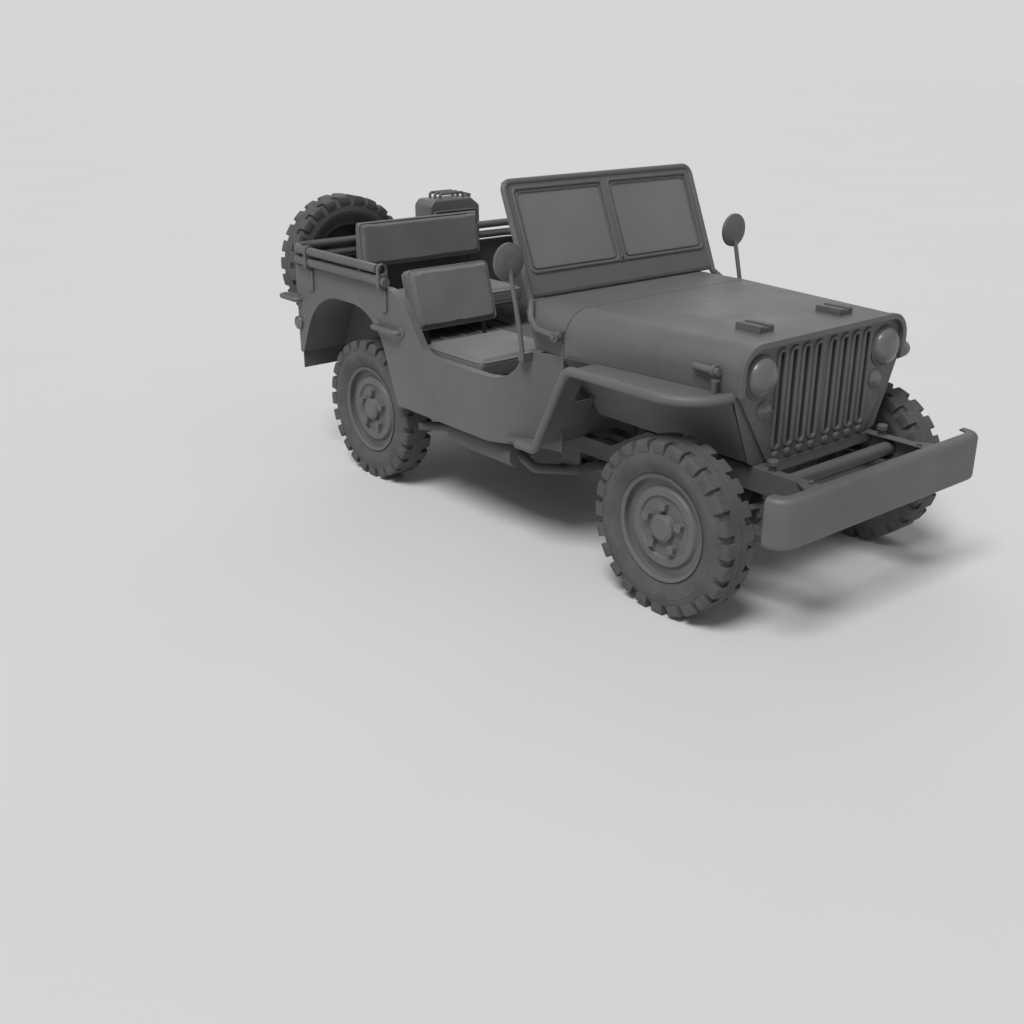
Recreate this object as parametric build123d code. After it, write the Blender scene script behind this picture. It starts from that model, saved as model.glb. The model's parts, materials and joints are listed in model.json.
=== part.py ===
from build123d import *
import math
import os

# Open quarter-ton army car with four driven wheels, full size, in millimetres.
# While modelling, X runs forward from mid wheelbase, Y to the car's left and Z up from a level AXLE_Z below
# the axles. The export shifts every piece so that the origin is the bottom centre of the whole car's box.

# Driving dimensions
WHEELBASE = 2032
TRACK = 1232
FRONT_OVERHANG = 545
REAR_PANEL_OVERHANG = 595
SPARE_GAP = 25
BODY_HALF = 745
COWL_HALF = 602
BODY_TOP = 1015
DOOR_Z = 755
COWL_LOW_Z = 880
SILL_Z = 465
REAR_SKIRT_Z = 555
PANEL = 5
TUCK = 0.3
RUNNING = 0.05
MOVE_GAP = 6
AXLE_Z = 350
FRONT_AXLE_X = WHEELBASE / 2
REAR_AXLE_X = -WHEELBASE / 2

# Wheels and tyres: r is measured from the axle, d outboard from the wheel's middle plane
TYRE_R = 350
TYRE_W = 158
BEAD_R = 206
FLANGE_R = 214
FLANGE_D = 57
SIDEWALL_R = 262
DISC_D = 24
DRUM_R = 122
DRUM_D = -4
NUT_CIRCLE_R = 69.85
NUT_COUNT = 5
NUT_R = 20
SPINDLE_R = 24
SPINDLE_END_D = 54

# Steering
KINGPIN_Y = 520
KINGPIN_R = 14
BALL_R = 60
YOKE_HALF_HEIGHT = 92
YOKE_THICK = 24
STEER_ARM = 160
TIE_ROD_DROP = 28
TIE_ROD_R = 12
STUD_R = 8
COLUMN_TILT = 26
COLUMN_R = 19
COLUMN_GAP = 3
COLUMN_Y = 330
STEERING_WHEEL_R = 205
STEERING_WHEEL_X = FRONT_AXLE_X - 1146
STEERING_WHEEL_Z = 1050

# Chassis
RAIL_OUTER = 372
RAIL_WALL = 5
AXLE_TUBE_R = 38
DIFF_R = 112
DIFF_Y = -170
PINION_REACH = 140
BACKPLATE_R = 125
BACKPLATE_T = 8
SPRING_W = 44
RAIL_W = SPRING_W + 1
LEAF_T = 8
LEAF_COUNT = 5
SPRING_EYE_R = 20
SPRING_PIN_R = 9
SPRING_TOP_DROP = 50
BUMPER_HALF = 640
BUMPER_Z = (410, 605)
BUMPER_DEPTH = 50
BUMPER_T = 8
ENGINE_X = (FRONT_AXLE_X - 532, FRONT_AXLE_X - 16)
CASE_X = (ENGINE_X[0] - 444, ENGINE_X[0] - 294)
RADIATOR_X = (FRONT_AXLE_X + 74, FRONT_AXLE_X + 114)

# Body panels
HOOD_REAR_X = FRONT_AXLE_X - 650
HOOD_FRONT_X = FRONT_AXLE_X + 189
HOOD_TOP = 1070
HOOD_NOSE_DROP = 8
HOOD_NOSE_HALF = 503
HOOD_LOW_Z = 878
HINGE_R = 7
HINGE_PIN_R = 4
HINGE_HALF = 430
HINGE_LUG = 12
COWL_REAR_X = FRONT_AXLE_X - 926
COWL_R = 130
NOSE_R = 100
GRILLE_T = 22
GRILLE_LOW_Z = 582
GRILLE_LOW_HALF = 300
SLOT_PITCH = 73
SLOT_CENTRE = 45
SLOT_W = 34
SLOT_Z = (640, 1015)
FENDER_HALF = 728
FENDER_Z = 885
FENDER_T = 6
FENDER_BEAD_R = 20
FENDER_NOSE_R = 205
APRON_LOW = (392, 600)
LAMP_Y = 383
LAMP_Z = 935
LAMP_R = 80
MARKER_Y = 347
MARKER_Z = 803
MARKER_R = 38
RIM_W = 18
RIM_DEPTH = 40
FLOOR_Z = SILL_Z
REAR_FLOOR_Z = 602
WHEEL_HOUSE_Y = 480
HOUSE_RIM = 14
STEP_LEAD = 126

# Windshield, in its own leaning plane: v runs up from its foot
SHIELD_FOOT = (COWL_REAR_X + 15, 1080)
SHIELD_RAKE = 23
SHIELD_HALF = 564
SHIELD_H = 490
SHIELD_TUBE_R = 14
SHIELD_T = 12
GLASS_T = 6
GLASS_U = (24, 520)
GLASS_V = (104, 452)
SHIELD_PIVOT = (HOOD_REAR_X - 21, 965)
SHIELD_ARM_Y = 632

# Fittings
BOW_Y = BODY_HALF + 12
BOW_R = 21
BOW_Z = (1045, 1100)
BOW_FRONT_X = (REAR_AXLE_X + 316, REAR_AXLE_X + 246)
BOW_REAR_X = REAR_AXLE_X - REAR_PANEL_OVERHANG + 23
BRACKET_X = (REAR_AXLE_X + 281, REAR_AXLE_X - 387)
BOW_CORNER_R = 110
HANDLE_R = 13
HANDLE_Y = BODY_HALF + 32
MIRROR_R = 77
MIRROR_Y = BODY_HALF - 55
SPARE_INSET = 35
SPARE_Y = TYRE_R + SPARE_INSET - BODY_HALF
SPARE_Z = 970
CAN_LEAD = 340
CAN_Y = SPARE_Y + TYRE_R + CAN_LEAD
CAN_W = 345
CAN_D = 160
CAN_Z = (800, 1255)

# Seats: a pad's own depth, width and thickness
SEAT_Y = 375
SEAT_W = 490
SEAT_BACK_TILT = 17
REAR_SEAT_W = 800

# Places worked out from the sizes above
WHEEL_Y = TRACK / 2
BUMPER_X = FRONT_AXLE_X + FRONT_OVERHANG
REAR_X = REAR_AXLE_X - REAR_PANEL_OVERHANG
TAIL_X = REAR_X - SPARE_GAP - TYRE_W
ORIGIN_SHIFT = -(BUMPER_X + TAIL_X) / 2
GROUND_SHIFT = TYRE_R - AXLE_Z
STEP_X = REAR_AXLE_X + TYRE_R + STEP_LEAD
DRUM_Y = WHEEL_Y + DRUM_D
BACKPLATE_Y = DRUM_Y - MOVE_GAP
SPRING_Y = RAIL_OUTER - RAIL_W / 2
SPRING_Z = AXLE_Z - SPRING_TOP_DROP
STEER_ARM_X = FRONT_AXLE_X + STEER_ARM
ARM_Z = AXLE_Z + YOKE_HALF_HEIGHT
TIE_ROD_Z = ARM_Z - YOKE_THICK - TIE_ROD_DROP / 2
CORNER_R = 60
FIREWALL_X = HOOD_REAR_X - 4
GRILLE_X = HOOD_FRONT_X - 3
HINGE_X = HOOD_REAR_X + HINGE_R
HINGE_Z = HOOD_TOP - HINGE_R

# How a point of a profile (a, b) at station c along an axis lies in space
SPACE = {
    "x": lambda a, b, c: (c, a, b),
    "y": lambda a, b, c: (a, c, b),
    "z": lambda a, b, c: (a, b, c),
}


def outline(axis, corners, station):
    """Closed face across an axis from corners (a, b) or (a, b, corner radius)."""
    points = [SPACE[axis](corner[0], corner[1], station) for corner in corners]
    radii = [corner[2] if len(corner) > 2 else 0 for corner in corners]
    if any(radii):
        return make_face(FilletPolyline(*points, radius=radii, close=True))
    return make_face(Polyline(*points, close=True))


def prism(axis, corners, start, end):
    """Profile pushed along an axis from start to end."""
    return extrude(outline(axis, corners, start), amount=end - start, dir=SPACE[axis](0, 0, 1))


def block(x, y, z):
    """Box between pairs of limits."""
    return prism("z", [(x[0], y[0]), (x[1], y[0]), (x[1], y[1]), (x[0], y[1])], z[0], z[1])


def rod(start, end, radius):
    """Round bar between two points."""
    axis = Vector(*end) - Vector(*start)
    plane = Plane(origin=start, z_dir=axis)
    return extrude(plane * Circle(radius), amount=axis.length, dir=axis)


def bent_rod(points, bend, radius):
    """Round bar along straight runs joined by bends."""
    path = FilletPolyline(*points, radius=bend)
    section = Plane(origin=path @ 0, z_dir=path % 0) * Circle(radius)
    return sweep(section, path=path)


def turned(corners):
    """Solid of revolution about Y from corners (r, d) or (r, d, corner radius)."""
    return revolve(outline("z", corners, 0), Axis.Y)


def opposite(part):
    """The same piece on the car's other side."""
    return mirror(part, about=Plane.XZ)


def pair(part):
    return [part, opposite(part)]


# Wheels


def tyre():
    half = TYRE_W / 2
    bead = FLANGE_D - TUCK
    inner = BEAD_R + TUCK
    lip = FLANGE_R + 2
    return turned([
        (inner, -bead), (lip, -bead), (SIDEWALL_R, -half, 15), (TYRE_R - 16, -half, 14),
        (TYRE_R, -half + 22, 10), (TYRE_R, half - 22, 10), (TYRE_R - 16, half, 14),
        (SIDEWALL_R, half, 15), (lip, bead), (inner, bead),
    ])


def wheel():
    """Dished disc wheel with its brake drum, hub and nuts, outboard towards +Y."""
    rim_wall = 7
    rim = turned([
        (BEAD_R - rim_wall, -FLANGE_D), (FLANGE_R, -FLANGE_D - rim_wall), (FLANGE_R, -FLANGE_D),
        (BEAD_R, -FLANGE_D), (BEAD_R, FLANGE_D), (FLANGE_R, FLANGE_D),
        (FLANGE_R, FLANGE_D + rim_wall), (BEAD_R - rim_wall, FLANGE_D),
    ])
    face = DISC_D + 8
    bore = SPINDLE_R + RUNNING
    disc = turned([
        (bore, DRUM_D), (DRUM_R, DRUM_D), (DRUM_R, DISC_D), (BEAD_R - 4, DISC_D), (BEAD_R - 4, face),
        (168, face), (156, face + 14), (128, face + 14), (120, face + 6), (60, face + 6),
        (55, face + 26), (42, face + 34), (0, face + 34), (0, SPINDLE_END_D + 2), (bore, SPINDLE_END_D + 2),
    ])
    result = rim + disc
    for index in range(NUT_COUNT):
        angle = math.radians(90 + index * 360 / NUT_COUNT)
        centre = (NUT_CIRCLE_R * math.cos(angle) * 1.28, face + 4, NUT_CIRCLE_R * math.sin(angle) * 1.28)
        nut = Plane(origin=centre, z_dir=(0, 1, 0)) * RegularPolygon(NUT_R, 6)
        result += extrude(nut, amount=26, dir=(0, 1, 0))
    return result


def spindle():
    """Brake back plate and stub shaft that carry one wheel, at its left-hand place on the Y axis."""
    plate = rod((0, BACKPLATE_Y - BACKPLATE_T, 0), (0, BACKPLATE_Y, 0), BACKPLATE_R)
    return plate + rod((0, BACKPLATE_Y - 1, 0), (0, WHEEL_Y + SPINDLE_END_D, 0), SPINDLE_R)


# Axles, springs and steering


def differential(x, pinion_side):
    """Axle gear housing with its pinion nose pointing forward (+1) or back (-1)."""
    housing = Pos(x, DIFF_Y, AXLE_Z) * Sphere(DIFF_R)
    nose = rod((x, DIFF_Y, AXLE_Z), (x + pinion_side * PINION_REACH, DIFF_Y, AXLE_Z), DIFF_R * 0.4)
    cover = rod((x, DIFF_Y, AXLE_Z), (x - pinion_side * (DIFF_R + 6), DIFF_Y, AXLE_Z), DIFF_R * 0.75)
    return housing + nose + cover


def spring_pads(x):
    pads = []
    for side in (1, -1):
        y = side * SPRING_Y
        pads.append(block((x - 45, x + 45), (y - SPRING_W / 2, y + SPRING_W / 2), (SPRING_Z + 0.8, AXLE_Z)))
    return pads


def front_axle():
    axle = rod((FRONT_AXLE_X, -KINGPIN_Y, AXLE_Z), (FRONT_AXLE_X, KINGPIN_Y, AXLE_Z), AXLE_TUBE_R)
    axle += differential(FRONT_AXLE_X, -1)
    axle += spring_pads(FRONT_AXLE_X)
    for side in (1, -1):
        axle += Pos(FRONT_AXLE_X, side * KINGPIN_Y, AXLE_Z) * Sphere(BALL_R)
        low = (FRONT_AXLE_X, side * KINGPIN_Y, AXLE_Z - YOKE_HALF_HEIGHT)
        high = (FRONT_AXLE_X, side * KINGPIN_Y, AXLE_Z + YOKE_HALF_HEIGHT)
        axle += rod(low, high, KINGPIN_R)
    return axle


def rear_axle():
    reach = BACKPLATE_Y - 1
    axle = rod((REAR_AXLE_X, -reach, AXLE_Z), (REAR_AXLE_X, reach, AXLE_Z), AXLE_TUBE_R)
    axle += differential(REAR_AXLE_X, 1)
    axle += spring_pads(REAR_AXLE_X)
    for stub in pair(spindle()):
        axle += Pos(REAR_AXLE_X, 0, AXLE_Z) * stub
    return axle


def left_knuckle():
    """Steering knuckle: a C-shaped yoke round the axle's ball, with stub shaft and steering arm."""
    inner_height = YOKE_HALF_HEIGHT - YOKE_THICK
    back = BACKPLATE_Y - BACKPLATE_T
    yoke = prism("x", [
        (KINGPIN_Y - 34, AXLE_Z - YOKE_HALF_HEIGHT), (back, AXLE_Z - YOKE_HALF_HEIGHT, 24),
        (back, AXLE_Z + YOKE_HALF_HEIGHT, 24), (KINGPIN_Y - 34, AXLE_Z + YOKE_HALF_HEIGHT),
    ], FRONT_AXLE_X - 32, FRONT_AXLE_X + 32)
    room = KINGPIN_Y + BALL_R + MOVE_GAP
    yoke -= block(
        (FRONT_AXLE_X - 40, FRONT_AXLE_X + 40), (KINGPIN_Y - 60, room),
        (AXLE_Z - inner_height, AXLE_Z + inner_height),
    )
    yoke += Pos(FRONT_AXLE_X, 0, AXLE_Z) * spindle()
    arm_y = KINGPIN_Y
    arm_end = STEER_ARM_X + 18
    yoke += prism("z", [
        (FRONT_AXLE_X - 30, arm_y - 14), (arm_end, arm_y - 16, 14), (arm_end, arm_y + 16, 14),
        (FRONT_AXLE_X + 40, KINGPIN_Y + 30), (FRONT_AXLE_X - 30, KINGPIN_Y + 30),
    ], ARM_Z - YOKE_THICK, ARM_Z)
    stud_foot = TIE_ROD_Z - TIE_ROD_DROP / 2
    yoke += rod((STEER_ARM_X, arm_y, stud_foot), (STEER_ARM_X, arm_y, ARM_Z - 2), STUD_R)
    low = (FRONT_AXLE_X, KINGPIN_Y, AXLE_Z - YOKE_HALF_HEIGHT - 1)
    high = (FRONT_AXLE_X, KINGPIN_Y, AXLE_Z + YOKE_HALF_HEIGHT + 1)
    return yoke - rod(low, high, KINGPIN_R + RUNNING)


def tie_rod():
    reach = KINGPIN_Y
    half_eye = TIE_ROD_DROP / 2 - MOVE_GAP / 2
    result = rod((STEER_ARM_X, -reach, TIE_ROD_Z), (STEER_ARM_X, reach, TIE_ROD_Z), TIE_ROD_R)
    for side, clearance in ((1, RUNNING), (-1, 10 * RUNNING)):
        y = side * reach
        result += rod((STEER_ARM_X, y, TIE_ROD_Z - half_eye), (STEER_ARM_X, y, TIE_ROD_Z + half_eye), 20)
        result -= rod((STEER_ARM_X, y, TIE_ROD_Z - 20), (STEER_ARM_X, y, TIE_ROD_Z + 20), STUD_R + clearance)
    return result


# Springs: axle station, half length, rise of the eyes
SPRINGS = [
    (FRONT_AXLE_X, 430, 55),
    (REAR_AXLE_X, 510, 30),
]


def eye_places(axle_x, half_length, rise):
    """X and Z of the eye at each end of a spring."""
    z = SPRING_Z + rise + SPRING_EYE_R - LEAF_T
    return [(axle_x - half_length, z), (axle_x + half_length, z)]


def leaf_spring(axle_x, half_length, rise):
    """Stack of curved leaves, longest on top, with an eye at each end."""
    bow_radius = (half_length ** 2 + rise ** 2) / (2 * rise)
    centre_z = SPRING_Z + bow_radius
    y = SPRING_Y - SPRING_W / 2
    result = None
    for index in range(LEAF_COUNT):
        reach = half_length * (1 - 0.17 * index)
        inner = bow_radius + index * LEAF_T
        outer = inner + LEAF_T
        swing = math.asin(reach / bow_radius)

        def on_arc(radius, angle):
            return (axle_x + radius * math.sin(angle), y, centre_z - radius * math.cos(angle))

        edges = [
            ThreePointArc(on_arc(inner, -swing), on_arc(inner, 0), on_arc(inner, swing)),
            Line(on_arc(inner, swing), on_arc(outer, swing)),
            ThreePointArc(on_arc(outer, swing), on_arc(outer, 0), on_arc(outer, -swing)),
            Line(on_arc(outer, -swing), on_arc(inner, -swing)),
        ]
        leaf = extrude(make_face(edges), amount=SPRING_W, dir=(0, 1, 0))
        result = leaf if result is None else result + leaf
    for x, z in eye_places(axle_x, half_length, rise):
        result += rod((x, y, z), (x, y + SPRING_W, z), SPRING_EYE_R)
        result -= rod((x, y - 1, z), (x, y + SPRING_W + 1, z), SPRING_PIN_R + TUCK)
    return result


# Frame rails from the side: X, underside Z, top Z
RAIL_STATIONS = [
    (REAR_X + 21, 500, 590),
    (REAR_AXLE_X - 224, 515, 600),
    (REAR_AXLE_X + 226, 515, 600),
    (REAR_AXLE_X + 446, 385, 464),
    (FRONT_AXLE_X - 596, 385, 464),
    (FRONT_AXLE_X - 386, 485, 580),
    (BUMPER_X - BUMPER_T - TUCK, 485, 580),
]
# Cross members: rear X, front X, low Z, high Z
CROSS_MEMBERS = [
    (REAR_X + 21, REAR_X + 61, 500, 590),
    (REAR_AXLE_X + 256, REAR_AXLE_X + 316, 505, 560),
    (CASE_X[0] - 160, CASE_X[0] - 110, 390, 440),
    (RADIATOR_X[0] - 5, RADIATOR_X[1], 490, 560),
    (GRILLE_X - 30, GRILLE_X + 6, 540, GRILLE_LOW_Z - TUCK),
]


def rail():
    lower = [(x, low) for x, low, high in RAIL_STATIONS]
    upper = [(x, high) for x, low, high in reversed(RAIL_STATIONS)]
    bends = [0] + [60] * (len(lower) - 2) + [0]
    corners = [(x, z, bend) for (x, z), bend in zip(lower + upper, bends + bends)]
    solid = prism("y", corners, RAIL_OUTER - RAIL_W, RAIL_OUTER)
    hollow = offset(outline("y", corners, RAIL_OUTER - RAIL_W - 1), amount=-RAIL_WALL)
    return solid - extrude(hollow, amount=RAIL_W + 1 - RAIL_WALL, dir=(0, 1, 0))


def rail_underside(x):
    for (x0, z0, _), (x1, z1, _) in zip(RAIL_STATIONS, RAIL_STATIONS[1:]):
        if x0 <= x <= x1:
            return z0 + (z1 - z0) * (x - x0) / (x1 - x0)
    return RAIL_STATIONS[-1][1]


def spring_hangers():
    """Cheek plates and pins that hold the spring eyes under the left rail."""
    parts = []
    for axle_x, half_length, rise in SPRINGS:
        for x, z in eye_places(axle_x, half_length, rise):
            top = rail_underside(x) + 12
            for y in (SPRING_Y - SPRING_W / 2 - 8, SPRING_Y + SPRING_W / 2):
                parts.append(prism("y", [
                    (x - 24, z - 24, 20), (x + 24, z - 24, 20), (x + 30, top), (x - 30, top),
                ], y + TUCK, y + 8 - TUCK))
            parts.append(rod(
                (x, SPRING_Y - SPRING_W / 2 - 6, z), (x, SPRING_Y + SPRING_W / 2 + 6, z), SPRING_PIN_R))
    return parts


def chassis_frame():
    left = rail()
    for hanger in spring_hangers():
        left += hanger
    left += prism("z", [
        (BUMPER_X - 166, RAIL_OUTER - 1), (BUMPER_X - BUMPER_T - TUCK, RAIL_OUTER + 88),
        (BUMPER_X - BUMPER_T - TUCK, RAIL_OUTER - 1),
    ], 572, 580)
    frame = left + opposite(left)
    reach = RAIL_OUTER - RAIL_WALL + 1
    for back, front, low, high in CROSS_MEMBERS:
        frame += block((back, front), (-reach, reach), (low, high))
    horn_x = GRILLE_X + 98
    frame += rod((horn_x, -reach, 532), (horn_x, reach, 532), 28)
    skid_x = (CASE_X[0] + 30, CASE_X[1])
    skid = block(skid_x, (-reach, reach), (272, 282))
    for side in (1, -1):
        y = sorted((side * (RAIL_OUTER - RAIL_W + 4), side * (RAIL_OUTER - RAIL_W + 14)))
        skid += block(skid_x, y, (272, 392))
    return frame + skid


def front_bumper():
    """Smooth channel bar with rounded ends that wrap back."""
    back = BUMPER_X - 93
    inside = BUMPER_X - BUMPER_DEPTH
    low, high = BUMPER_Z

    def plan(setback, bend, rear):
        half = BUMPER_HALF - setback
        face = BUMPER_X - setback
        return [(rear, -half), (face, -half, bend), (face, half, bend), (rear, half)]

    bar = prism("z", plan(0, 85, back), low, high)
    bar = fillet(bar.edges().filter_by(Axis.Z, reverse=True).filter_by(lambda e: e.center().X > back + 5), 22)
    bar -= prism("z", plan(BUMPER_T, 85 - BUMPER_T, back - 9), low + BUMPER_T, high - BUMPER_T)
    bar -= prism("z", plan(BUMPER_DEPTH, 40, back - 9), low - 1, high + 1)
    return bar


def rear_bumperette():
    start = REAR_X + 20.7
    return prism("z", [
        (start, 330), (start, 372), (start - 40, 400), (start - 40, 600, 30), (start + 10, 660),
        (start, 668), (start - 52, 612, 40), (start - 52, 380, 20),
    ], 474, 552)


def tow_hitch():
    plate_x = REAR_X + 21
    eye_x = REAR_X - 50
    hitch = block((plate_x - 12, plate_x), (-75, 75), (480, 550))
    hitch += block((eye_x, plate_x - 6), (-22, 22), (506, 546))
    hitch += rod((eye_x, 0, 503), (eye_x, 0, 549), 42)
    return hitch - rod((eye_x, 0, 490), (eye_x, 0, 560), 16)


# Engine, drive line and exhaust


def engine():
    rear, front = ENGINE_X
    body = prism("y", [
        (rear, 440, 20), (front - 150, 440, 30), (front - 130, 560), (front, 560, 15), (front, 900, 25),
        (rear, 900, 25),
    ], -112, 112)
    for side in (1, -1):
        y = sorted((side * 105, side * (RAIL_OUTER - 8)))
        body += block((front - 160, front - 110), y, (580 + TUCK, 612))
    return body


def gearbox():
    """Gearbox and transfer case, the case reaching out to the right for the two shafts."""
    rear = CASE_X[0] + 90
    front = ENGINE_X[0] - TUCK
    body = prism("z", [(rear, -95), (front, -150), (front, 150), (rear, 95)], 400, 560)
    return body + block(CASE_X, (DIFF_Y - 60, 100), (282 + TUCK, 450))


def propshafts():
    """Front and rear shafts with a fork at each end."""
    shafts = []
    shaft_z = AXLE_Z + 10
    for start, end in ((CASE_X[1] + TUCK, FRONT_AXLE_X - PINION_REACH - TUCK),
                       (CASE_X[0] - TUCK, REAR_AXLE_X + PINION_REACH + TUCK)):
        toward = math.copysign(1, end - start)
        shaft = rod((start + toward * 20, DIFF_Y, shaft_z), (end - toward * 20, DIFF_Y, AXLE_Z), 22)
        shaft += rod((start, DIFF_Y, shaft_z), (start + toward * 70, DIFF_Y, shaft_z), 34)
        shaft += rod((end - toward * 70, DIFF_Y, AXLE_Z), (end, DIFF_Y, AXLE_Z), 34)
        shafts.append(shaft)
    return shafts


def exhaust():
    engine_x = ENGINE_X[0]
    muffler = rod((engine_x - 826, -620, 395), (engine_x - 376, -620, 395), 62)
    front = bent_rod([
        (engine_x - 384, -620, 395), (engine_x - 274, -620, 360), (engine_x - 184, -460, 340),
        (engine_x - 154, -260, 340), (engine_x - 34, -252, 420), (engine_x + 46, -250, 640),
        (engine_x + 116, -200, 700), (engine_x + 116, -112 - TUCK, 700),
    ], 30, 22)
    tail = bent_rod([
        (engine_x - 819, -620, 395), (engine_x - 954, -620, 380), (engine_x - 1044, -690, 380),
    ], 60, 22)
    hanger = block((engine_x - 614, engine_x - 584), (-640, -600), (450, SILL_Z - TUCK))
    return muffler + front + tail + hanger


def radiator():
    core = block(RADIATOR_X, (-240, 240), (580, 1010))
    tank_x = (RADIATOR_X[0] - 10, RADIATOR_X[1] + 10)
    return core + block(tank_x, (-250, 250), (960, 1020)) + block(tank_x, (-250, 250), (560 + TUCK, 620))


def fuel_tank():
    tank = block((STEP_X + 40, STEP_X + 290), (170, 600), (FLOOR_Z + PANEL + TUCK, 630))
    return fillet(tank.edges().filter_by(Axis.Z), 40)


# Body: plan outline of the tub's outer face


def tub_plan(grow=0):
    flare_start = COWL_REAR_X - 50
    flare_end = HOOD_REAR_X - 66
    corners = [
        (REAR_X, -BODY_HALF, CORNER_R), (flare_start, -BODY_HALF, 130), (flare_end, -COWL_HALF - 4, 130),
        (FIREWALL_X, -COWL_HALF), (FIREWALL_X, COWL_HALF), (flare_end, COWL_HALF + 4, 130),
        (flare_start, BODY_HALF, 130), (REAR_X, BODY_HALF, CORNER_R),
    ]
    face = outline("z", corners, 0)
    return offset(face, amount=grow) if grow else face


def tub_solid(grow, low, high):
    return extrude(Pos(0, 0, low) * tub_plan(grow), amount=high - low, dir=(0, 0, 1))


def tub_wall(thick, low, high):
    return tub_solid(0, low, high) - tub_solid(-thick, low - 1, high + 1)


# Rear wheel arch from the side: X, Z, corner radius
ARCH_SEAM = REAR_X + CORNER_R + 15
ARCH_BACK = REAR_AXLE_X - TYRE_R
ARCH_FRONT = REAR_AXLE_X + TYRE_R
ARCH_TOP = AXLE_Z + TYRE_R + 195
ARCH = [
    (ARCH_SEAM, 440), (ARCH_SEAM, REAR_SKIRT_Z), (ARCH_BACK - 4, ARCH_TOP, 340),
    (ARCH_FRONT - 164, ARCH_TOP, 290), (ARCH_FRONT + 6, SILL_Z), (ARCH_FRONT + 16, 440),
]
# Upper edge of the side from the rear corner to the cowl: X, Z, corner radius
UPPER_EDGE = [
    (STEP_X - 80, BODY_TOP, 220), (STEP_X + 115, DOOR_Z, 110), (COWL_REAR_X + 50, DOOR_Z, 110),
    (COWL_REAR_X + 95, COWL_LOW_Z),
]


def side_outline(shrink=0):
    lower = [(REAR_X + CORNER_R, REAR_SKIRT_Z)] + ARCH[1:5] + [(FIREWALL_X, SILL_Z), (FIREWALL_X, COWL_LOW_Z)]
    corners = lower + UPPER_EDGE[::-1] + [(REAR_X + CORNER_R, BODY_TOP)]
    face = outline("y", corners, -BODY_HALF - 20)
    return offset(face, amount=-shrink) if shrink else face


def right_body_side():
    """Side of the tub with wheel arch and door cut-out, its upper edge turned in as a rolled rim."""
    reach = BODY_HALF + 20 - (COWL_HALF - 12)
    profile = extrude(side_outline(), amount=reach, dir=(0, 1, 0))
    wall = tub_wall(PANEL, SILL_Z, BODY_TOP) & profile
    core = extrude(side_outline(RIM_W), amount=reach, dir=(0, 1, 0))
    upper = block((REAR_X + CORNER_R, COWL_REAR_X + 90), (-BODY_HALF - 20, 0), (736, BODY_TOP))
    edge = (profile - core) & upper
    arch = offset(outline("y", ARCH, -BODY_HALF - 21), amount=RIM_W + 10)
    edge -= extrude(arch, amount=reach + 2, dir=(0, 1, 0))
    return wall + (edge & tub_wall(RIM_DEPTH, SILL_Z, BODY_TOP))


def rear_panel():
    zone = block((REAR_X - 5, REAR_X + CORNER_R), (-BODY_HALF - 5, BODY_HALF + 5), (0, 2 * BODY_TOP))
    panel = tub_wall(PANEL, REAR_SKIRT_Z, BODY_TOP) & zone
    return panel + (tub_wall(RIM_DEPTH / 2, BODY_TOP - RIM_W, BODY_TOP) & zone)


def left_wheel_house():
    """Cup over a rear wheel, following the arch."""
    outer = BODY_HALF - PANEL - TUCK
    arch = outline("y", ARCH, 0)
    cup = Pos(0, WHEEL_HOUSE_Y, 0) * offset(arch, amount=HOUSE_RIM)
    shell = extrude(cup, amount=outer - WHEEL_HOUSE_Y, dir=(0, 1, 0))
    room = Pos(0, WHEEL_HOUSE_Y + PANEL, 0) * offset(arch, amount=HOUSE_RIM - PANEL)
    shell -= extrude(room, amount=outer, dir=(0, 1, 0))
    return shell & block((REAR_X + 11, ARCH_FRONT + 66), (0, BODY_HALF), (SILL_Z + PANEL + TUCK, BODY_TOP))


def wheel_house_space():
    """Room that the wheel houses take out of the floor."""
    arch = offset(outline("y", ARCH, 0), amount=HOUSE_RIM + TUCK)
    space = extrude(Pos(0, WHEEL_HOUSE_Y - TUCK, 0) * arch, amount=BODY_HALF, dir=(0, 1, 0))
    return space + opposite(space)


def body_floor():
    """Front floor with gearbox tunnel and toe board, riser and rear floor."""
    toe_x = FIREWALL_X - 112
    toe = [
        (toe_x - 2, FLOOR_Z), (FIREWALL_X - 2, 640), (FIREWALL_X - 9, 645), (toe_x - 5, FLOOR_Z + PANEL),
    ]
    floor = block((STEP_X, toe_x), (-BODY_HALF, BODY_HALF), (FLOOR_Z, FLOOR_Z + PANEL))
    floor += prism("y", toe, -BODY_HALF, BODY_HALF)
    floor += block((STEP_X - PANEL, STEP_X), (-WHEEL_HOUSE_Y, WHEEL_HOUSE_Y), (FLOOR_Z, REAR_FLOOR_Z + PANEL))
    floor += block((REAR_X, STEP_X), (-BODY_HALF, BODY_HALF), (REAR_FLOOR_Z, REAR_FLOOR_Z + PANEL))
    start = CASE_X[0] - 20
    tunnel = prism("x", [(-190, 300), (-165, 585, 40), (165, 585, 40), (190, 300)], start, FIREWALL_X)
    room = prism("x", [(-185, 300), (-160, 580, 36), (160, 580, 36), (185, 300)], start + PANEL, FIREWALL_X)
    above = block((start, FIREWALL_X - 2), (-300, 300), (FLOOR_Z, BODY_TOP))
    floor = floor + (tunnel & above) - room
    floor -= block((start, CASE_X[1] + 10), (DIFF_Y - 62, -100), (400, 452))
    floor &= tub_solid(-PANEL - TUCK, 0, BODY_TOP)
    return floor - wheel_house_space() - steering_shaft(COLUMN_R + COLUMN_GAP)


# Cowl, hood and nose: a U section given by half width, top, shoulder radius and lower edge


def arch_section(half, top, radius, low):
    return [(-half, low), (-half, top, radius), (half, top, radius), (half, low)]


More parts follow.
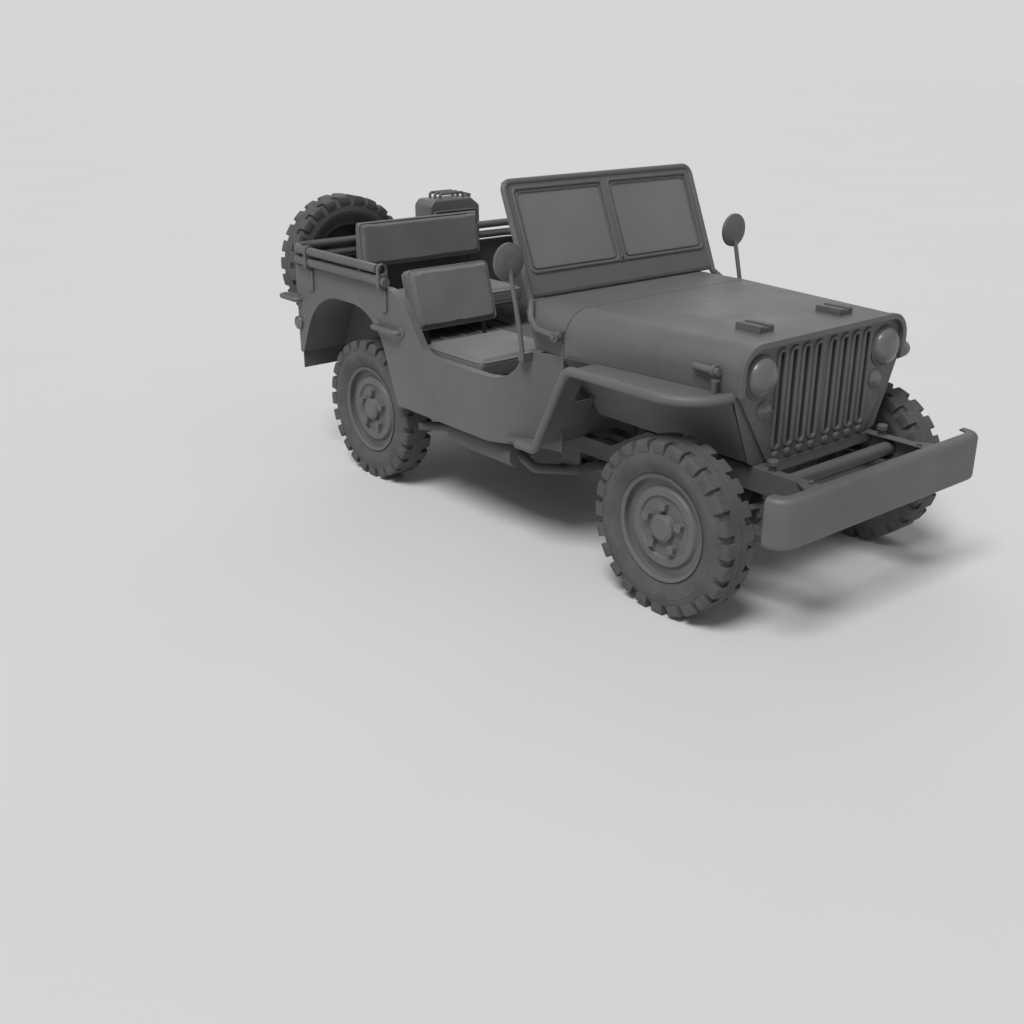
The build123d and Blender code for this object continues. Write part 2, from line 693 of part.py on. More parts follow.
def cowl():
    """Scuttle between hood and windshield, with the firewall closing its front."""
    outer = prism("x", arch_section(COWL_HALF, HOOD_TOP, COWL_R, COWL_LOW_Z + TUCK), COWL_REAR_X, FIREWALL_X)
    inner = arch_section(COWL_HALF - PANEL, HOOD_TOP - PANEL, COWL_R - PANEL, 800)
    shell = outer - prism("x", inner, COWL_REAR_X - 1, FIREWALL_X + 1)
    shell -= prism("y", [
        (COWL_REAR_X - 1, 800), (COWL_REAR_X + 105, 800), (COWL_REAR_X + 95, COWL_LOW_Z + 5),
        (COWL_REAR_X + 60, 985, 60), (COWL_REAR_X - 1, 1020),
    ], -COWL_HALF - 5, COWL_HALF + 5)
    firewall = arch_section(COWL_HALF - PANEL - 8, HOOD_TOP - 2, COWL_R, 640)
    wall = prism("x", firewall, FIREWALL_X - PANEL, FIREWALL_X)
    shell = shell + wall - steering_shaft(COLUMN_R + COLUMN_GAP)
    for side in (1, -1):
        lug = sorted((side * (HINGE_HALF + 1), side * (HINGE_HALF + HINGE_LUG)))
        shell += block((FIREWALL_X - 20, HINGE_X), lug, (HINGE_Z - HINGE_R, HOOD_TOP))
        shell += rod((HINGE_X, lug[0], HINGE_Z), (HINGE_X, lug[1], HINGE_Z), HINGE_R)
        inner = side * (HINGE_HALF - 36)
        shell += rod((HINGE_X, inner, HINGE_Z), (HINGE_X, side * (HINGE_HALF + 4), HINGE_Z), HINGE_PIN_R)
    return shell


def dashboard():
    top = HOOD_TOP - PANEL - TUCK
    section = [(-540, 900, 30), (-540, top, 90), (540, top, 90), (540, 900, 30)]
    return prism("x", section, COWL_REAR_X + 30, COWL_REAR_X + 36) - steering_shaft(COLUMN_R + COLUMN_GAP)


def hood_loft(inset):
    rear = outline("x", arch_section(
        COWL_HALF - inset, HOOD_TOP - inset, COWL_R - inset, HOOD_LOW_Z - inset * 2), HOOD_REAR_X)
    front = outline("x", arch_section(
        HOOD_NOSE_HALF - inset, HOOD_TOP - HOOD_NOSE_DROP - inset, NOSE_R - inset, HOOD_LOW_Z - inset * 2),
        HOOD_FRONT_X)
    return loft([rear, front])


def hood():
    """Hood panel with turned-down sides, front bead and rear hinge barrel."""
    shell = hood_loft(0) - hood_loft(PANEL)
    half = HOOD_NOSE_HALF + 4
    top = HOOD_TOP - HOOD_NOSE_DROP + 4
    bead = prism("x", arch_section(half, top, NOSE_R + 4, HOOD_LOW_Z), HOOD_FRONT_X - 2, HOOD_FRONT_X + 18)
    inside = arch_section(half - 22, top - 22, NOSE_R - 18, HOOD_LOW_Z - 5)
    bead -= prism("x", inside, HOOD_FRONT_X - 5, HOOD_FRONT_X + 25)
    barrel = rod((HINGE_X, -HINGE_HALF, HINGE_Z), (HINGE_X, HINGE_HALF, HINGE_Z), HINGE_R)
    result = shell + bead + barrel
    for side in (1, -1):
        inner = side * (HINGE_HALF - 40)
        outer = side * (HINGE_HALF + HINGE_LUG + 2)
        result -= rod((HINGE_X, inner, HINGE_Z), (HINGE_X, outer, HINGE_Z), HINGE_PIN_R + RUNNING)
        notch = sorted((side * HINGE_HALF, outer))
        reach = 3 * HINGE_R
        result -= block((HOOD_REAR_X - 5, HINGE_X + reach), notch, (HINGE_Z - reach, HOOD_TOP + 5))
    return result


def hood_block():
    """Grooved wooden rest for the folded windshield."""
    x0, x1 = HOOD_FRONT_X - 220, HOOD_FRONT_X - 100
    y0, y1 = 205, 285
    slope = HOOD_NOSE_DROP / (HOOD_FRONT_X - HOOD_REAR_X)
    seat = [HOOD_TOP - slope * (x - HOOD_REAR_X) + TUCK for x in (x0, x1)]
    top = HOOD_TOP + 20
    solid = prism("y", [(x0, seat[0]), (x1, seat[1]), (x1, top, 6), (x0, top, 6)], y0, y1)
    return solid - block((x0 - 1, x1 + 1), (y0 + 28, y1 - 28), (top - 9, top + 1))


def hood_catch():
    """Spring catch on the hood's side."""
    x, z = HOOD_FRONT_X - 130, 965
    y = side_of_hood(x)
    tube = rod((x - 60, y + 17, z), (x + 60, y + 17, z), 15)
    return tube + rod((x + 30, y + 17, z), (x + 44, y + 17, z), 22) - hood_loft(-TUCK)


def side_of_hood(x):
    share = (x - HOOD_REAR_X) / (HOOD_FRONT_X - HOOD_REAR_X)
    return COWL_HALF + (HOOD_NOSE_HALF - COWL_HALF) * share


def grille():
    """Pressed grille with eight tall slots, lamp openings and inward-sloping lower sides."""
    inset = PANEL + 3
    top = HOOD_TOP - HOOD_NOSE_DROP - inset
    half = HOOD_NOSE_HALF - inset
    front = GRILLE_X
    corners = [
        (-half, HOOD_LOW_Z), (-half, top, NOSE_R - inset), (half, top, NOSE_R - inset), (half, HOOD_LOW_Z),
        (GRILLE_LOW_HALF + 40, 640, 40), (GRILLE_LOW_HALF, GRILLE_LOW_Z, 20),
        (-GRILLE_LOW_HALF, GRILLE_LOW_Z, 20), (-GRILLE_LOW_HALF - 40, 640, 40),
    ]
    panel = prism("x", corners, front - GRILLE_T, front)
    low, high = SLOT_Z
    for index in range(4):
        for side in (1, -1):
            y = side * (SLOT_CENTRE + index * SLOT_PITCH)
            half_slot = SLOT_W / 2
            slot = [
                (y - half_slot, low, half_slot - 1), (y + half_slot, low, half_slot - 1),
                (y + half_slot, high, half_slot - 1), (y - half_slot, high, half_slot - 1),
            ]
            panel -= prism("x", slot, front - GRILLE_T - 1, front + 1)
    for side in (1, -1):
        for y, z, radius in ((LAMP_Y, LAMP_Z, LAMP_R), (MARKER_Y, MARKER_Z, MARKER_R)):
            panel -= rod((front - 40, side * y, z), (front + 5, side * y, z), radius + TUCK)
    return panel


def lamp(y, z, radius, depth, bulge):
    """Round lamp: bowl, rim and domed lens, pointing forward."""
    front = GRILLE_X
    bowl = [(0, -depth), (radius * 0.6, -depth * 0.8, 10), (radius, -GRILLE_T - 6), (radius, 4)]
    lens = [(radius - 5, 8), (radius * 0.55, bulge - 4, radius * 0.5), (0, bulge)]
    return Pos(front, y, z) * Rot(0, 0, -90) * turned(bowl + lens)


def front_lamps():
    return pair(lamp(LAMP_Y, LAMP_Z, LAMP_R, 110, 30)) + pair(lamp(MARKER_Y, MARKER_Z, MARKER_R, 50, 22))


# Fender from the side, front to rear: X, Z, bend radius
FENDER_LEG_X = (HOOD_REAR_X + 147, HOOD_REAR_X - 48, HOOD_REAR_X - 236)
FENDER_LINE = [
    (HOOD_FRONT_X - 15, FENDER_Z), (FENDER_LEG_X[0], FENDER_Z, 60), (FENDER_LEG_X[1], 500, 40),
    (FENDER_LEG_X[2], 500),
]


def left_fender():
    """Flat front fender with rolled outer edge, sloped rear leg, step and inner apron."""
    outer = [(x, z) for x, z, *bend in FENDER_LINE]
    bends = [60, 40]
    inner = [(x, z - FENDER_T) for x, z in outer]
    inner[1] = (inner[1][0] + 2, inner[1][1])
    inner[2] = (inner[2][0] + 4, inner[2][1])
    corners = [outer[0], (*outer[1], bends[0]), (*outer[2], bends[1]), outer[3]]
    corners += [inner[3], (*inner[2], bends[1] + FENDER_T), (*inner[1], bends[0] - FENDER_T), inner[0]]
    sheet = prism("y", corners, 480, FENDER_HALF)
    nose_x = HOOD_FRONT_X - 15
    plan = [
        (FENDER_LEG_X[2] - 30, 400), (nose_x, 400), (nose_x, FENDER_HALF, FENDER_NOSE_R),
        (FENDER_LEG_X[2] - 30, FENDER_HALF),
    ]
    sheet &= prism("z", plan, 0, BODY_TOP)
    start, end = HOOD_REAR_X - 30, HOOD_FRONT_X + 30
    hood_room = [
        (start, 0), (end, 0), (end, side_of_hood(HOOD_FRONT_X) + MOVE_GAP),
        (start, side_of_hood(HOOD_REAR_X) + MOVE_GAP + 4),
    ]
    sheet -= prism("z", hood_room, 700, BODY_TOP)
    return sheet + fender_bead() + fender_apron() - tub_solid(TUCK, 0, BODY_TOP)


def fender_bead():
    """Rolled edge along the fender's outer side, swept round the nose and down the leg."""
    z = FENDER_Z - FENDER_BEAD_R / 2
    nose_x = HOOD_FRONT_X - 15 - FENDER_BEAD_R / 2
    y = FENDER_HALF - FENDER_BEAD_R / 2
    return bent_rod([
        (nose_x, side_of_hood(HOOD_FRONT_X) + MOVE_GAP + 2, z), (nose_x, y, z),
        (FENDER_LEG_X[0] - 2, y, z), (FENDER_LEG_X[1], y, 492), (FENDER_LEG_X[2] + 75, y, 492),
    ], [FENDER_NOSE_R - FENDER_BEAD_R / 2, 60, 40], FENDER_BEAD_R)


def fender_apron():
    """Inner panel from the fender's inner edge down to the frame, closing the engine bay."""
    y_low, z_low = APRON_LOW
    sections = []
    for x in (HOOD_REAR_X + 10, GRILLE_X - GRILLE_T - TUCK):
        y = side_of_hood(x) + MOVE_GAP + 4
        sections.append(outline("x", [
            (y, FENDER_Z - 1), (y + 8, FENDER_Z - 1), (y_low + 8, z_low), (y_low, z_low),
        ], x))
    return loft(sections)


def catch_post():
    """Hook post on the fender below the hood's catch."""
    x = HOOD_FRONT_X - 80
    y = side_of_hood(x) + 32
    post = block((x - 9, x + 9), (y - 8, y + 8), (FENDER_Z, 930))
    return post + block((x - 14, x + 14), (y - 14, y + 8), (928, 937))


# Windshield: Z axis of its plane points forward and up


def shield_plane():
    lean = math.radians(SHIELD_RAKE)
    normal = (math.cos(lean), 0, math.sin(lean))
    return Plane(origin=(SHIELD_FOOT[0], 0, SHIELD_FOOT[1]), x_dir=(0, 1, 0), z_dir=normal)


def shield_sheet(u, v, thick, bend=0):
    """Flat piece of the windshield between limits in its own plane, centred on it."""
    corners = [(u[0], v[0], bend), (u[1], v[0], bend), (u[1], v[1], bend), (u[0], v[1], bend)]
    return shield_plane() * prism("z", corners, -thick / 2, thick / 2)


def windshield_frame():
    plane = shield_plane()

    def at(u, v):
        return plane.from_local_coords(Vector(u, v, 0))

    hoop = bent_rod([
        at(-SHIELD_HALF, 0), at(-SHIELD_HALF, SHIELD_H), at(SHIELD_HALF, SHIELD_H), at(SHIELD_HALF, 0),
    ], 40, SHIELD_TUBE_R)
    panel = shield_sheet((-SHIELD_HALF, SHIELD_HALF), (6, SHIELD_H), SHIELD_T)
    for side in (1, -1):
        u = sorted((side * GLASS_U[0], side * GLASS_U[1]))
        panel -= shield_sheet(u, GLASS_V, SHIELD_T + 2, 14)
    frame = hoop + panel
    foot = at(SHIELD_HALF, 4)
    pivot_x, pivot_z = SHIELD_PIVOT
    arm = bent_rod([
        foot, at(SHIELD_HALF, -14), (COWL_REAR_X + 75, 612, 1008), (COWL_REAR_X + 135, SHIELD_ARM_Y, 975),
        (pivot_x, SHIELD_ARM_Y, pivot_z),
    ], [12, 40, 60], SHIELD_TUBE_R)
    eye = rod((pivot_x, SHIELD_ARM_Y - 12, pivot_z), (pivot_x, SHIELD_ARM_Y + 12, pivot_z), 22)
    arm = arm + eye - rod((pivot_x, 560, pivot_z), (pivot_x, 700, pivot_z), 9 + RUNNING)
    return frame + arm + opposite(arm)


def windshield_glass():
    u = (GLASS_U[0] + TUCK, GLASS_U[1] - TUCK)
    v = (GLASS_V[0] + TUCK, GLASS_V[1] - TUCK)
    return pair(shield_sheet(u, v, GLASS_T, 14))


def windshield_pivot():
    """Bracket and pin on the cowl's side."""
    x, z = SHIELD_PIVOT
    base = block((x - 30, x + 14), (COWL_HALF - 30, COWL_HALF + 8), (z - 32, z + 22))
    base -= prism("x", arch_section(COWL_HALF + TUCK, HOOD_TOP + TUCK, COWL_R, 400), x - 60, x + 60)
    return base + rod((x, COWL_HALF + 4, z), (x, SHIELD_ARM_Y + 20, z), 9)


def mirror_left():
    """Round mirror on a stalk that stands on the body's side."""
    x, y = COWL_REAR_X + 115, MIRROR_Y
    head = (x - 87, y + 2, 1244)
    stalk = bent_rod([(x, y, 872), (x - 20, y, 980), (x - 77, y + 2, 1200), (x - 81, y + 2, 1240)], 40, 10)
    bracket = block((x - 17, x + 17), (COWL_HALF - 42, y + 10), (846, 882)) - tub_solid(TUCK, 0, BODY_TOP)
    shell = turned([
        (0, -12), (MIRROR_R - 4, -12), (MIRROR_R, -8), (MIRROR_R, 4, 3), (MIRROR_R * 0.6, 16, 60), (0, 20),
    ])
    return stalk + bracket + Pos(*head) * Rot(0, 0, -90) * shell


# Fittings on the tub


def top_bows():
    """Two folded top bows lying round the rear of the tub."""
    bows = []
    for z, front in zip(BOW_Z, BOW_FRONT_X):
        bows.append(bent_rod([
            (front, -BOW_Y, z), (BOW_REAR_X, -BOW_Y, z), (BOW_REAR_X, BOW_Y, z), (front, BOW_Y, z),
        ], BOW_CORNER_R, BOW_R))
    return bows


def bow_bracket(x):
    """Strap on the left side with a two-hole head for the bows."""
    strap = block((x - 20, x + 20), (BODY_HALF + TUCK, BODY_HALF + 9), (ARCH_TOP + 10, BODY_TOP - 10))
    head = prism("x", [
        (BODY_HALF + TUCK, 990), (BOW_Y + 26, 1020, 10), (BOW_Y + 26, BOW_Z[1] + 28, 24),
        (BOW_Y - 26, BOW_Z[1] + 28, 24), (BOW_Y - 26, BODY_TOP + 3), (BODY_HALF + TUCK, BODY_TOP + 3),
    ], x - 10, x + 10)
    for z in BOW_Z:
        head -= rod((x - 20, BOW_Y, z), (x + 20, BOW_Y, z), BOW_R + TUCK)
    return strap + head


def grab_handles():
    inner = BODY_HALF - 45
    back, front, z = ARCH_FRONT - 146, ARCH_FRONT + 56, ARCH_TOP - 70
    side = bent_rod([
        (back, inner, z), (back, HANDLE_Y, z), (front, HANDLE_Y, z), (front, inner, z),
    ], 22, HANDLE_R)
    tail, front, end = REAR_X - 80, REAR_X + 81, BODY_HALF - 19
    corner = bent_rod([
        (front, inner, 837), (front, HANDLE_Y, 837), (tail, HANDLE_Y, 837), (tail, end, 837),
        (front - 10, end, 837),
    ], 24, HANDLE_R)
    shell = tub_solid(TUCK, 0, BODY_TOP)
    return pair(side - shell) + pair(corner - shell)


def spare_place(part):
    """Moves a wheel piece to the spare's place, outboard side to the rear."""
    return Pos(TAIL_X + TYRE_W / 2, SPARE_Y, SPARE_Z) * Rot(0, 0, 90) * part


def rear_carriers():
    """Spare wheel post and fuel can rack on the rear panel."""
    seat_x = TAIL_X + TYRE_W / 2 - DRUM_D + TUCK
    post = rod((REAR_X - TUCK, SPARE_Y, SPARE_Z), (seat_x, SPARE_Y, SPARE_Z), 70)
    post += rod((REAR_X - TUCK, SPARE_Y, SPARE_Z - 20), (REAR_X - 10, SPARE_Y, SPARE_Z - 20), 110)
    post &= block((TAIL_X, REAR_X - TUCK), (-BODY_HALF, 0), (REAR_SKIRT_Z, BODY_TOP))
    y = (CAN_Y - CAN_W / 2 - 14, CAN_Y + CAN_W / 2 + 14)
    floor_z = CAN_Z[0]
    rack = block((REAR_X - CAN_D - 22, REAR_X - TUCK), y, (floor_z - 8, floor_z - TUCK))
    rack += block((REAR_X - 8, REAR_X - TUCK), y, (floor_z - 40, 1000))
    rack += block((REAR_X - CAN_D - 22, REAR_X - CAN_D - 16), y, (floor_z - 8, floor_z + 45))
    return [post, rack]


def fuel_can():
    """Flat-sided can with three carrying bars and a corner filler."""
    front = REAR_X - 10
    low, high = CAN_Z
    half = CAN_W / 2
    start, end = CAN_Y - half, CAN_Y + half
    corners = [
        (start, low, 30), (end, low, 30), (end, high - 45, 20), (end - 60, high, 20), (start + 30, high, 30),
        (start, high - 30, 30),
    ]
    body = prism("x", corners, front - CAN_D, front)
    body = fillet(body.edges().filter_by(lambda e: abs(e.bounding_box().size.X) < 1), 12)
    for x in (front - CAN_D * 0.2, front - CAN_D * 0.5, front - CAN_D * 0.8):
        start, end = CAN_Y - 85, CAN_Y + 75
        body += bent_rod([
            (x, start, high - 4), (x, start, high + 28), (x, end, high + 28), (x, end, high - 4),
        ], 14, 8)
    filler_x = front - CAN_D / 2
    return body + rod((filler_x, CAN_Y + 128, high - 25), (filler_x, CAN_Y + 142, high + 14), 24)


# Seats


def seat_pads():
    """Front seat cushion and back on the right."""
    y = (-SEAT_Y - SEAT_W / 2, -SEAT_Y + SEAT_W / 2)
    cushion = fillet(block((STEP_X - 80, STEP_X + 370), y, (666 + TUCK, 752)).edges(), 22)
    lean = math.radians(SEAT_BACK_TILT)
    foot = Vector(STEP_X - 108, 0, 800)
    up = Vector(-math.sin(lean), 0, math.cos(lean)) * 300
    thick = Vector(-math.cos(lean), 0, -math.sin(lean)) * 72
    corners = [(p.X, p.Z) for p in (foot, foot + up, foot + up + thick, foot + thick)]
    back = fillet(prism("y", corners, *y).edges(), 24)
    return [cushion, back]


def seat_frame():
    """Tubular frame of the right front seat: two side loops and the cross bars that carry the pads."""
    floor_z = FLOOR_Z + PANEL + TUCK
    front = STEP_X + 335
    loops = []
    for y in (-SEAT_Y - 200, -SEAT_Y + 200):
        loops.append(bent_rod([
            (front, y, floor_z), (front, y, 655), (STEP_X - 151, y, 655), (STEP_X - 269, y, 1040),
        ], [40, 40], 11) + rod((STEP_X + 18, y, floor_z), (STEP_X + 18, y, 655), 11))
    frame = loops[0] + loops[1]
    for x, z in ((STEP_X + 280, 655), (STEP_X - 20, 655), (STEP_X - 244, 960)):
        frame += rod((x, -SEAT_Y - 200, z), (x, -SEAT_Y + 200, z), 9)
    return frame


def rear_seat_pads():
    half = REAR_SEAT_W / 2
    cushion = fillet(block((REAR_X + 141, REAR_X + 511), (-half, half), (744 + TUCK, 830)).edges(), 24)
    rest = REAR_X + 72 + TUCK
    section = [(REAR_X + 137, 960), (REAR_X + 111, 1200), (rest, 1200), (rest, 960)]
    return [cushion, fillet(prism("y", section, -half, half).edges(), 18)]


def rear_seat_frame():
    half = REAR_SEAT_W / 2 - 30
    floor_z = REAR_FLOOR_Z + PANEL + TUCK
    frame = None
    front, back, leg = REAR_X + 481, REAR_X + 61, REAR_X + 161
    for y in (-half, half):
        loop = bent_rod([(front, y, floor_z), (front, y, 733), (back, y, 733), (back, y, 1140)], [40, 40], 11)
        loop += rod((leg, y, floor_z), (leg, y, 733), 11)
        frame = loop if frame is None else frame + loop
    for x, z in ((front - 70, 733), (leg + 50, 733), (back, 1080)):
        frame += rod((x, -half, z), (x, half, z), 9)
    return frame


# Steering column and wheel


def column_point(x):
    """Point of the steering axis at a station along the car."""
    return (x, COLUMN_Y, STEERING_WHEEL_Z - math.tan(math.radians(COLUMN_TILT)) * (x - STEERING_WHEEL_X))


def steering_shaft(radius):
    return rod(column_point(STEERING_WHEEL_X + 26), column_point(FRONT_AXLE_X - 296), radius)


def steering_column():
    """Column tube down to the steering box on the left rail."""
    box_x = (FRONT_AXLE_X - 326, FRONT_AXLE_X - 216)
    gear_box = fillet(block(box_x, (300, 366), (580 + TUCK, 690)).edges(), 10)
    shaft = rod(column_point(STEERING_WHEEL_X - 10), column_point(STEERING_WHEEL_X + 40), 11)
    return steering_shaft(COLUMN_R) + gear_box + shaft


def steering_wheel():
    """Three-spoke wheel, modelled flat and tilted onto the column."""
    rim = turned([(STEERING_WHEEL_R - 24, -12, 11.9), (STEERING_WHEEL_R, -12, 11.9),
                  (STEERING_WHEEL_R, 12, 11.9), (STEERING_WHEEL_R - 24, 12, 11.9)])
    hub = rod((0, -22, 0), (0, 24, 0), 32)
    result = rim + hub
    for index in range(3):
        angle = math.radians(90 + 120 * index)
        end = ((STEERING_WHEEL_R - 14) * math.cos(angle), 0, (STEERING_WHEEL_R - 14) * math.sin(angle))
        result += rod((0, 0, 0), end, 9)
    result -= rod((0, -14, 0), (0, 40, 0), 11 + RUNNING)
    return Pos(*column_point(STEERING_WHEEL_X)) * Rot(0, COLUMN_TILT, 0) * Rot(0, 0, -90) * result


def gear_levers():
    """Gear lever and two transfer levers on the tunnel."""
    levers = []
    for y, lead, height in ((0, 40, 330), (-60, 80, 220), (-110, 80, 200)):
        x = CASE_X[1] - lead
        lever = bent_rod([(x, y, 585 + TUCK), (x, y, 640), (x - 60, y, 585 + height)], 30, 7)
        lever += Pos(x - 60, y, 585 + height) * Sphere(17)
        levers.append(lever + rod((x, y, 585 + TUCK), (x, y, 600), 24))
    return levers


def make_nodes():
    """Every piece by its name."""
    left_wheel = Pos(0, WHEEL_Y, AXLE_Z) * wheel()
    left_tyre = Pos(0, WHEEL_Y, AXLE_Z) * tyre()
    knuckle = left_knuckle()
    fender = left_fender()
    side = right_body_side()
    house = left_wheel_house()
    front_left_seat = [opposite(pad) for pad in seat_pads()]
    springs = [leaf_spring(*row) for row in SPRINGS]
    nodes = {
        "chassis_frame": [chassis_frame()],
        "front_bumper": [front_bumper()],
        "rear_bumperettes": pair(rear_bumperette()),
        "tow_hitch": [tow_hitch()],
        "front_axle": [front_axle()],
        "rear_axle": [rear_axle()],
        "leaf_springs": pair(springs[0]) + pair(springs[1]),
        "engine": [engine()],
        "gearbox": [gearbox()],
        "propshafts": propshafts(),
        "exhaust": [exhaust()],
        "radiator": [radiator()],
        "fuel_tank": [fuel_tank()],
        "floor_pan": [body_floor()],
        "right_body_side": [side],
        "left_body_side": [opposite(side)],
        "rear_panel": [rear_panel()],
        "wheel_houses": pair(house),
        "cowl": [cowl()],
        "dashboard": [dashboard()],
        "grille": [grille()],
        "front_lamps": front_lamps(),
        "left_fender": [fender],
        "right_fender": [opposite(fender)],
        "catch_posts": pair(catch_post()),
        "hood": [hood()],
        "hood_blocks": pair(hood_block()),
        "hood_catches": pair(hood_catch()),
        "windshield_pivots": pair(windshield_pivot()),
        "windshield_frame": [windshield_frame()],
        "windshield_glass": windshield_glass(),
        "mirrors": pair(mirror_left()),
        "top_bows": top_bows(),
        "bow_brackets": [bracket for x in BRACKET_X for bracket in pair(bow_bracket(x))],
        "grab_handles": grab_handles(),
        "spare_tyre": [spare_place(tyre())],
        "spare_wheel": [spare_place(wheel())],
        "rear_carriers": rear_carriers(),
        "fuel_can": [fuel_can()],
        "front_seat_frames": pair(seat_frame()),
        "front_seat_pads": seat_pads() + front_left_seat,
        "rear_seat_frame": [rear_seat_frame()],
        "rear_seat_pads": rear_seat_pads(),
        "steering_column": [steering_column()],
        "steering_wheel": [steering_wheel()],
        "gear_levers": gear_levers(),
        "left_knuckle": [knuckle],
        "right_knuckle": [opposite(knuckle)],
        "tie_rod": [tie_rod()],
    }
    for end, x in (("front", FRONT_AXLE_X), ("rear", REAR_AXLE_X)):
        nodes[f"{end}_left_tyre"] = [Pos(x, 0, 0) * left_tyre]
        nodes[f"{end}_left_wheel"] = [Pos(x, 0, 0) * left_wheel]
        nodes[f"{end}_right_tyre"] = [Pos(x, 0, 0) * opposite(left_tyre)]
        nodes[f"{end}_right_wheel"] = [Pos(x, 0, 0) * opposite(left_wheel)]
    return nodes


os.makedirs("parts", exist_ok=True)
for name, pieces in make_nodes().items():
    solids = [solid for piece in pieces for solid in piece.solids()]
    export_step(Pos(ORIGIN_SHIFT, 0, GROUND_SHIFT) * Compound(solids), f"parts/{name}.step")
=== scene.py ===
"""Looks of the open army car: materials, lugged tyres, seat pads, trim, camera and light, in metres."""

import json
import math

import bmesh
import bpy
from mathutils import Matrix, Vector
from mathutils.bvhtree import BVHTree


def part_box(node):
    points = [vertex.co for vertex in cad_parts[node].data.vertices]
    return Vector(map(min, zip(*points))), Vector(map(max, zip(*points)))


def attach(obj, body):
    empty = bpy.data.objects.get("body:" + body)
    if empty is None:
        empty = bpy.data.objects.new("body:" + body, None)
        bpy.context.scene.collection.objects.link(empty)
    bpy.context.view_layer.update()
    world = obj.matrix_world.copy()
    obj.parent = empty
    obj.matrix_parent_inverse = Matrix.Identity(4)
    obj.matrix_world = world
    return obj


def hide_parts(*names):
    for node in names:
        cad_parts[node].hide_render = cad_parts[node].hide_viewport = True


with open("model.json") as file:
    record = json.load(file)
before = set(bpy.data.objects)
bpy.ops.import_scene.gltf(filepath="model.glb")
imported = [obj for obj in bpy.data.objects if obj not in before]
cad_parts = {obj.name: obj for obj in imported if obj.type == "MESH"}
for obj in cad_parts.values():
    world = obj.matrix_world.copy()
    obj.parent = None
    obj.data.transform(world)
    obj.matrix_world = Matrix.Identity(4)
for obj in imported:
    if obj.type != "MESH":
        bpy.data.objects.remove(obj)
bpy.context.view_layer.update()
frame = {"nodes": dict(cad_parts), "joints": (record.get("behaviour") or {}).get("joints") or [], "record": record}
record = frame["record"]
joint_at = {joint["name"]: Vector(joint["pos_m"]) for joint in frame["joints"]}

# Camera, from the photograph
CAMERA_AT = (3.987, -3.7342, 2.0773)
CAMERA_TOWARD = (-0.7196, 0.5866, -0.3715)
CAMERA_LENS_MM = 41.3
CAMERA_SENSOR_MM = 36

# Light: suns as direction towards them, strength and angle of softness
SUNS = {
    "key": ((0.20, -0.55, 1.00), 2.4, 25),
    "rim": ((-0.80, 0.60, 0.55), 0.4, 40),
}
SKY_STRENGTH = 0.28
FLOOR_REACH = 60
FLOOR_DROP = 0.0005

# Small boxes and hex heads
SOFT = 0.003
BEVEL_SEGMENTS = 2
BEVEL_PROFILE = 0.6
HEX_SHOULDER = 0.80
HEX_TOP = 0.84

# Steps round turned pieces, sides of round bars and steps of a rounded corner
LAMP_STEPS = 48
DIAL_STEPS = 40
TURNED_STEPS = 32
SMALL_STEPS = 24
KNOB_STEPS = 20
BAR_SIDES = 12
RIB_SIDES = 10
BEAD_SIDES = 8
TICK_SIDES = 6
CORNER_STEPS = 6

# Edges that turn by more degrees than this look sharp
SHARP_DEG = 32
TYRE_SHARP_DEG = 28
PAD_SHARP_DEG = 80

# Vertices of the frame's meshes that are nearer than this are one
WELD = 1e-5

# How a display value becomes linear, and the share of blue that warms every grey
DISPLAY_OFFSET = 0.055
DISPLAY_GAMMA = 2.4
BLUE_SHARE = 0.985

# Values between which a noise mostly runs
NOISE_SPAN = (0.3, 0.7)

# Greys, as display values from 0 to 1
BODY_TONE = 0.39
CHASSIS_TONE = 0.36
RUBBER_TONE = 0.33
CANVAS_TONE = 0.46
PANE_TONE = 0.46
LENS_TONE = 0.41
WOOD_TONE = 0.40
CONTROL_TONE = 0.30
MIRROR_TONE = 0.62
FLOOR_TONE = 0.84

# Tyres: radii of the bead at its distance from the middle plane, the sidewall from the rim out as radius
# and distance in from the widest plane, and a lug's outline as depth below the tread and the same distance
LUG_COUNT = 24
LUG_SHARE = 0.65
LUG_STAGGER = 0.5
LUG_STEPS = 4
LUG_BEVEL = 0.0016
TREAD_DEPTH = 0.013
TREAD_SHOULDER = 0.026
CENTRE_HALF = 0.030
CENTRE_EDGE = 0.0008
LUG_SINK = 0.004
SPLIT_HALF = 0.0012
SPLIT_DEPTH = 0.005
BEAD_D = 0.0567
BEAD = (0.2063, 0.2165)
SIDEWALL = [
    (0.240, 0.0095), (0.256, 0.0035), (0.266, 0.0006), (0.278, 0.0004), (0.280, 0.0020), (0.296, 0.0026),
    (0.310, 0.0080), (0.324, 0.0160),
]
LUG_SIDE = [
    (0.000, 0.0110), (0.004, 0.0035), (0.013, 0.0000), (0.034, 0.0000), (0.047, 0.0024), (0.048, 0.0120),
    (0.032, 0.0260),
]
TYRE_STEPS = 192

# Seat pads
PAD_VOXEL = 0.009
PAD_SHRINK = 0.005
PAD_CAP = 0.012
PAD_PRESSURE = 4
PAD_FRAMES = 20
PAD_SMOOTH = 0.5
PIPING_R = 0.0042
PIPING_CORNER = 0.042
PIPING_INSET = 0.003
PIPING_LEVEL = 0.008
PIPING_STEPS = 5

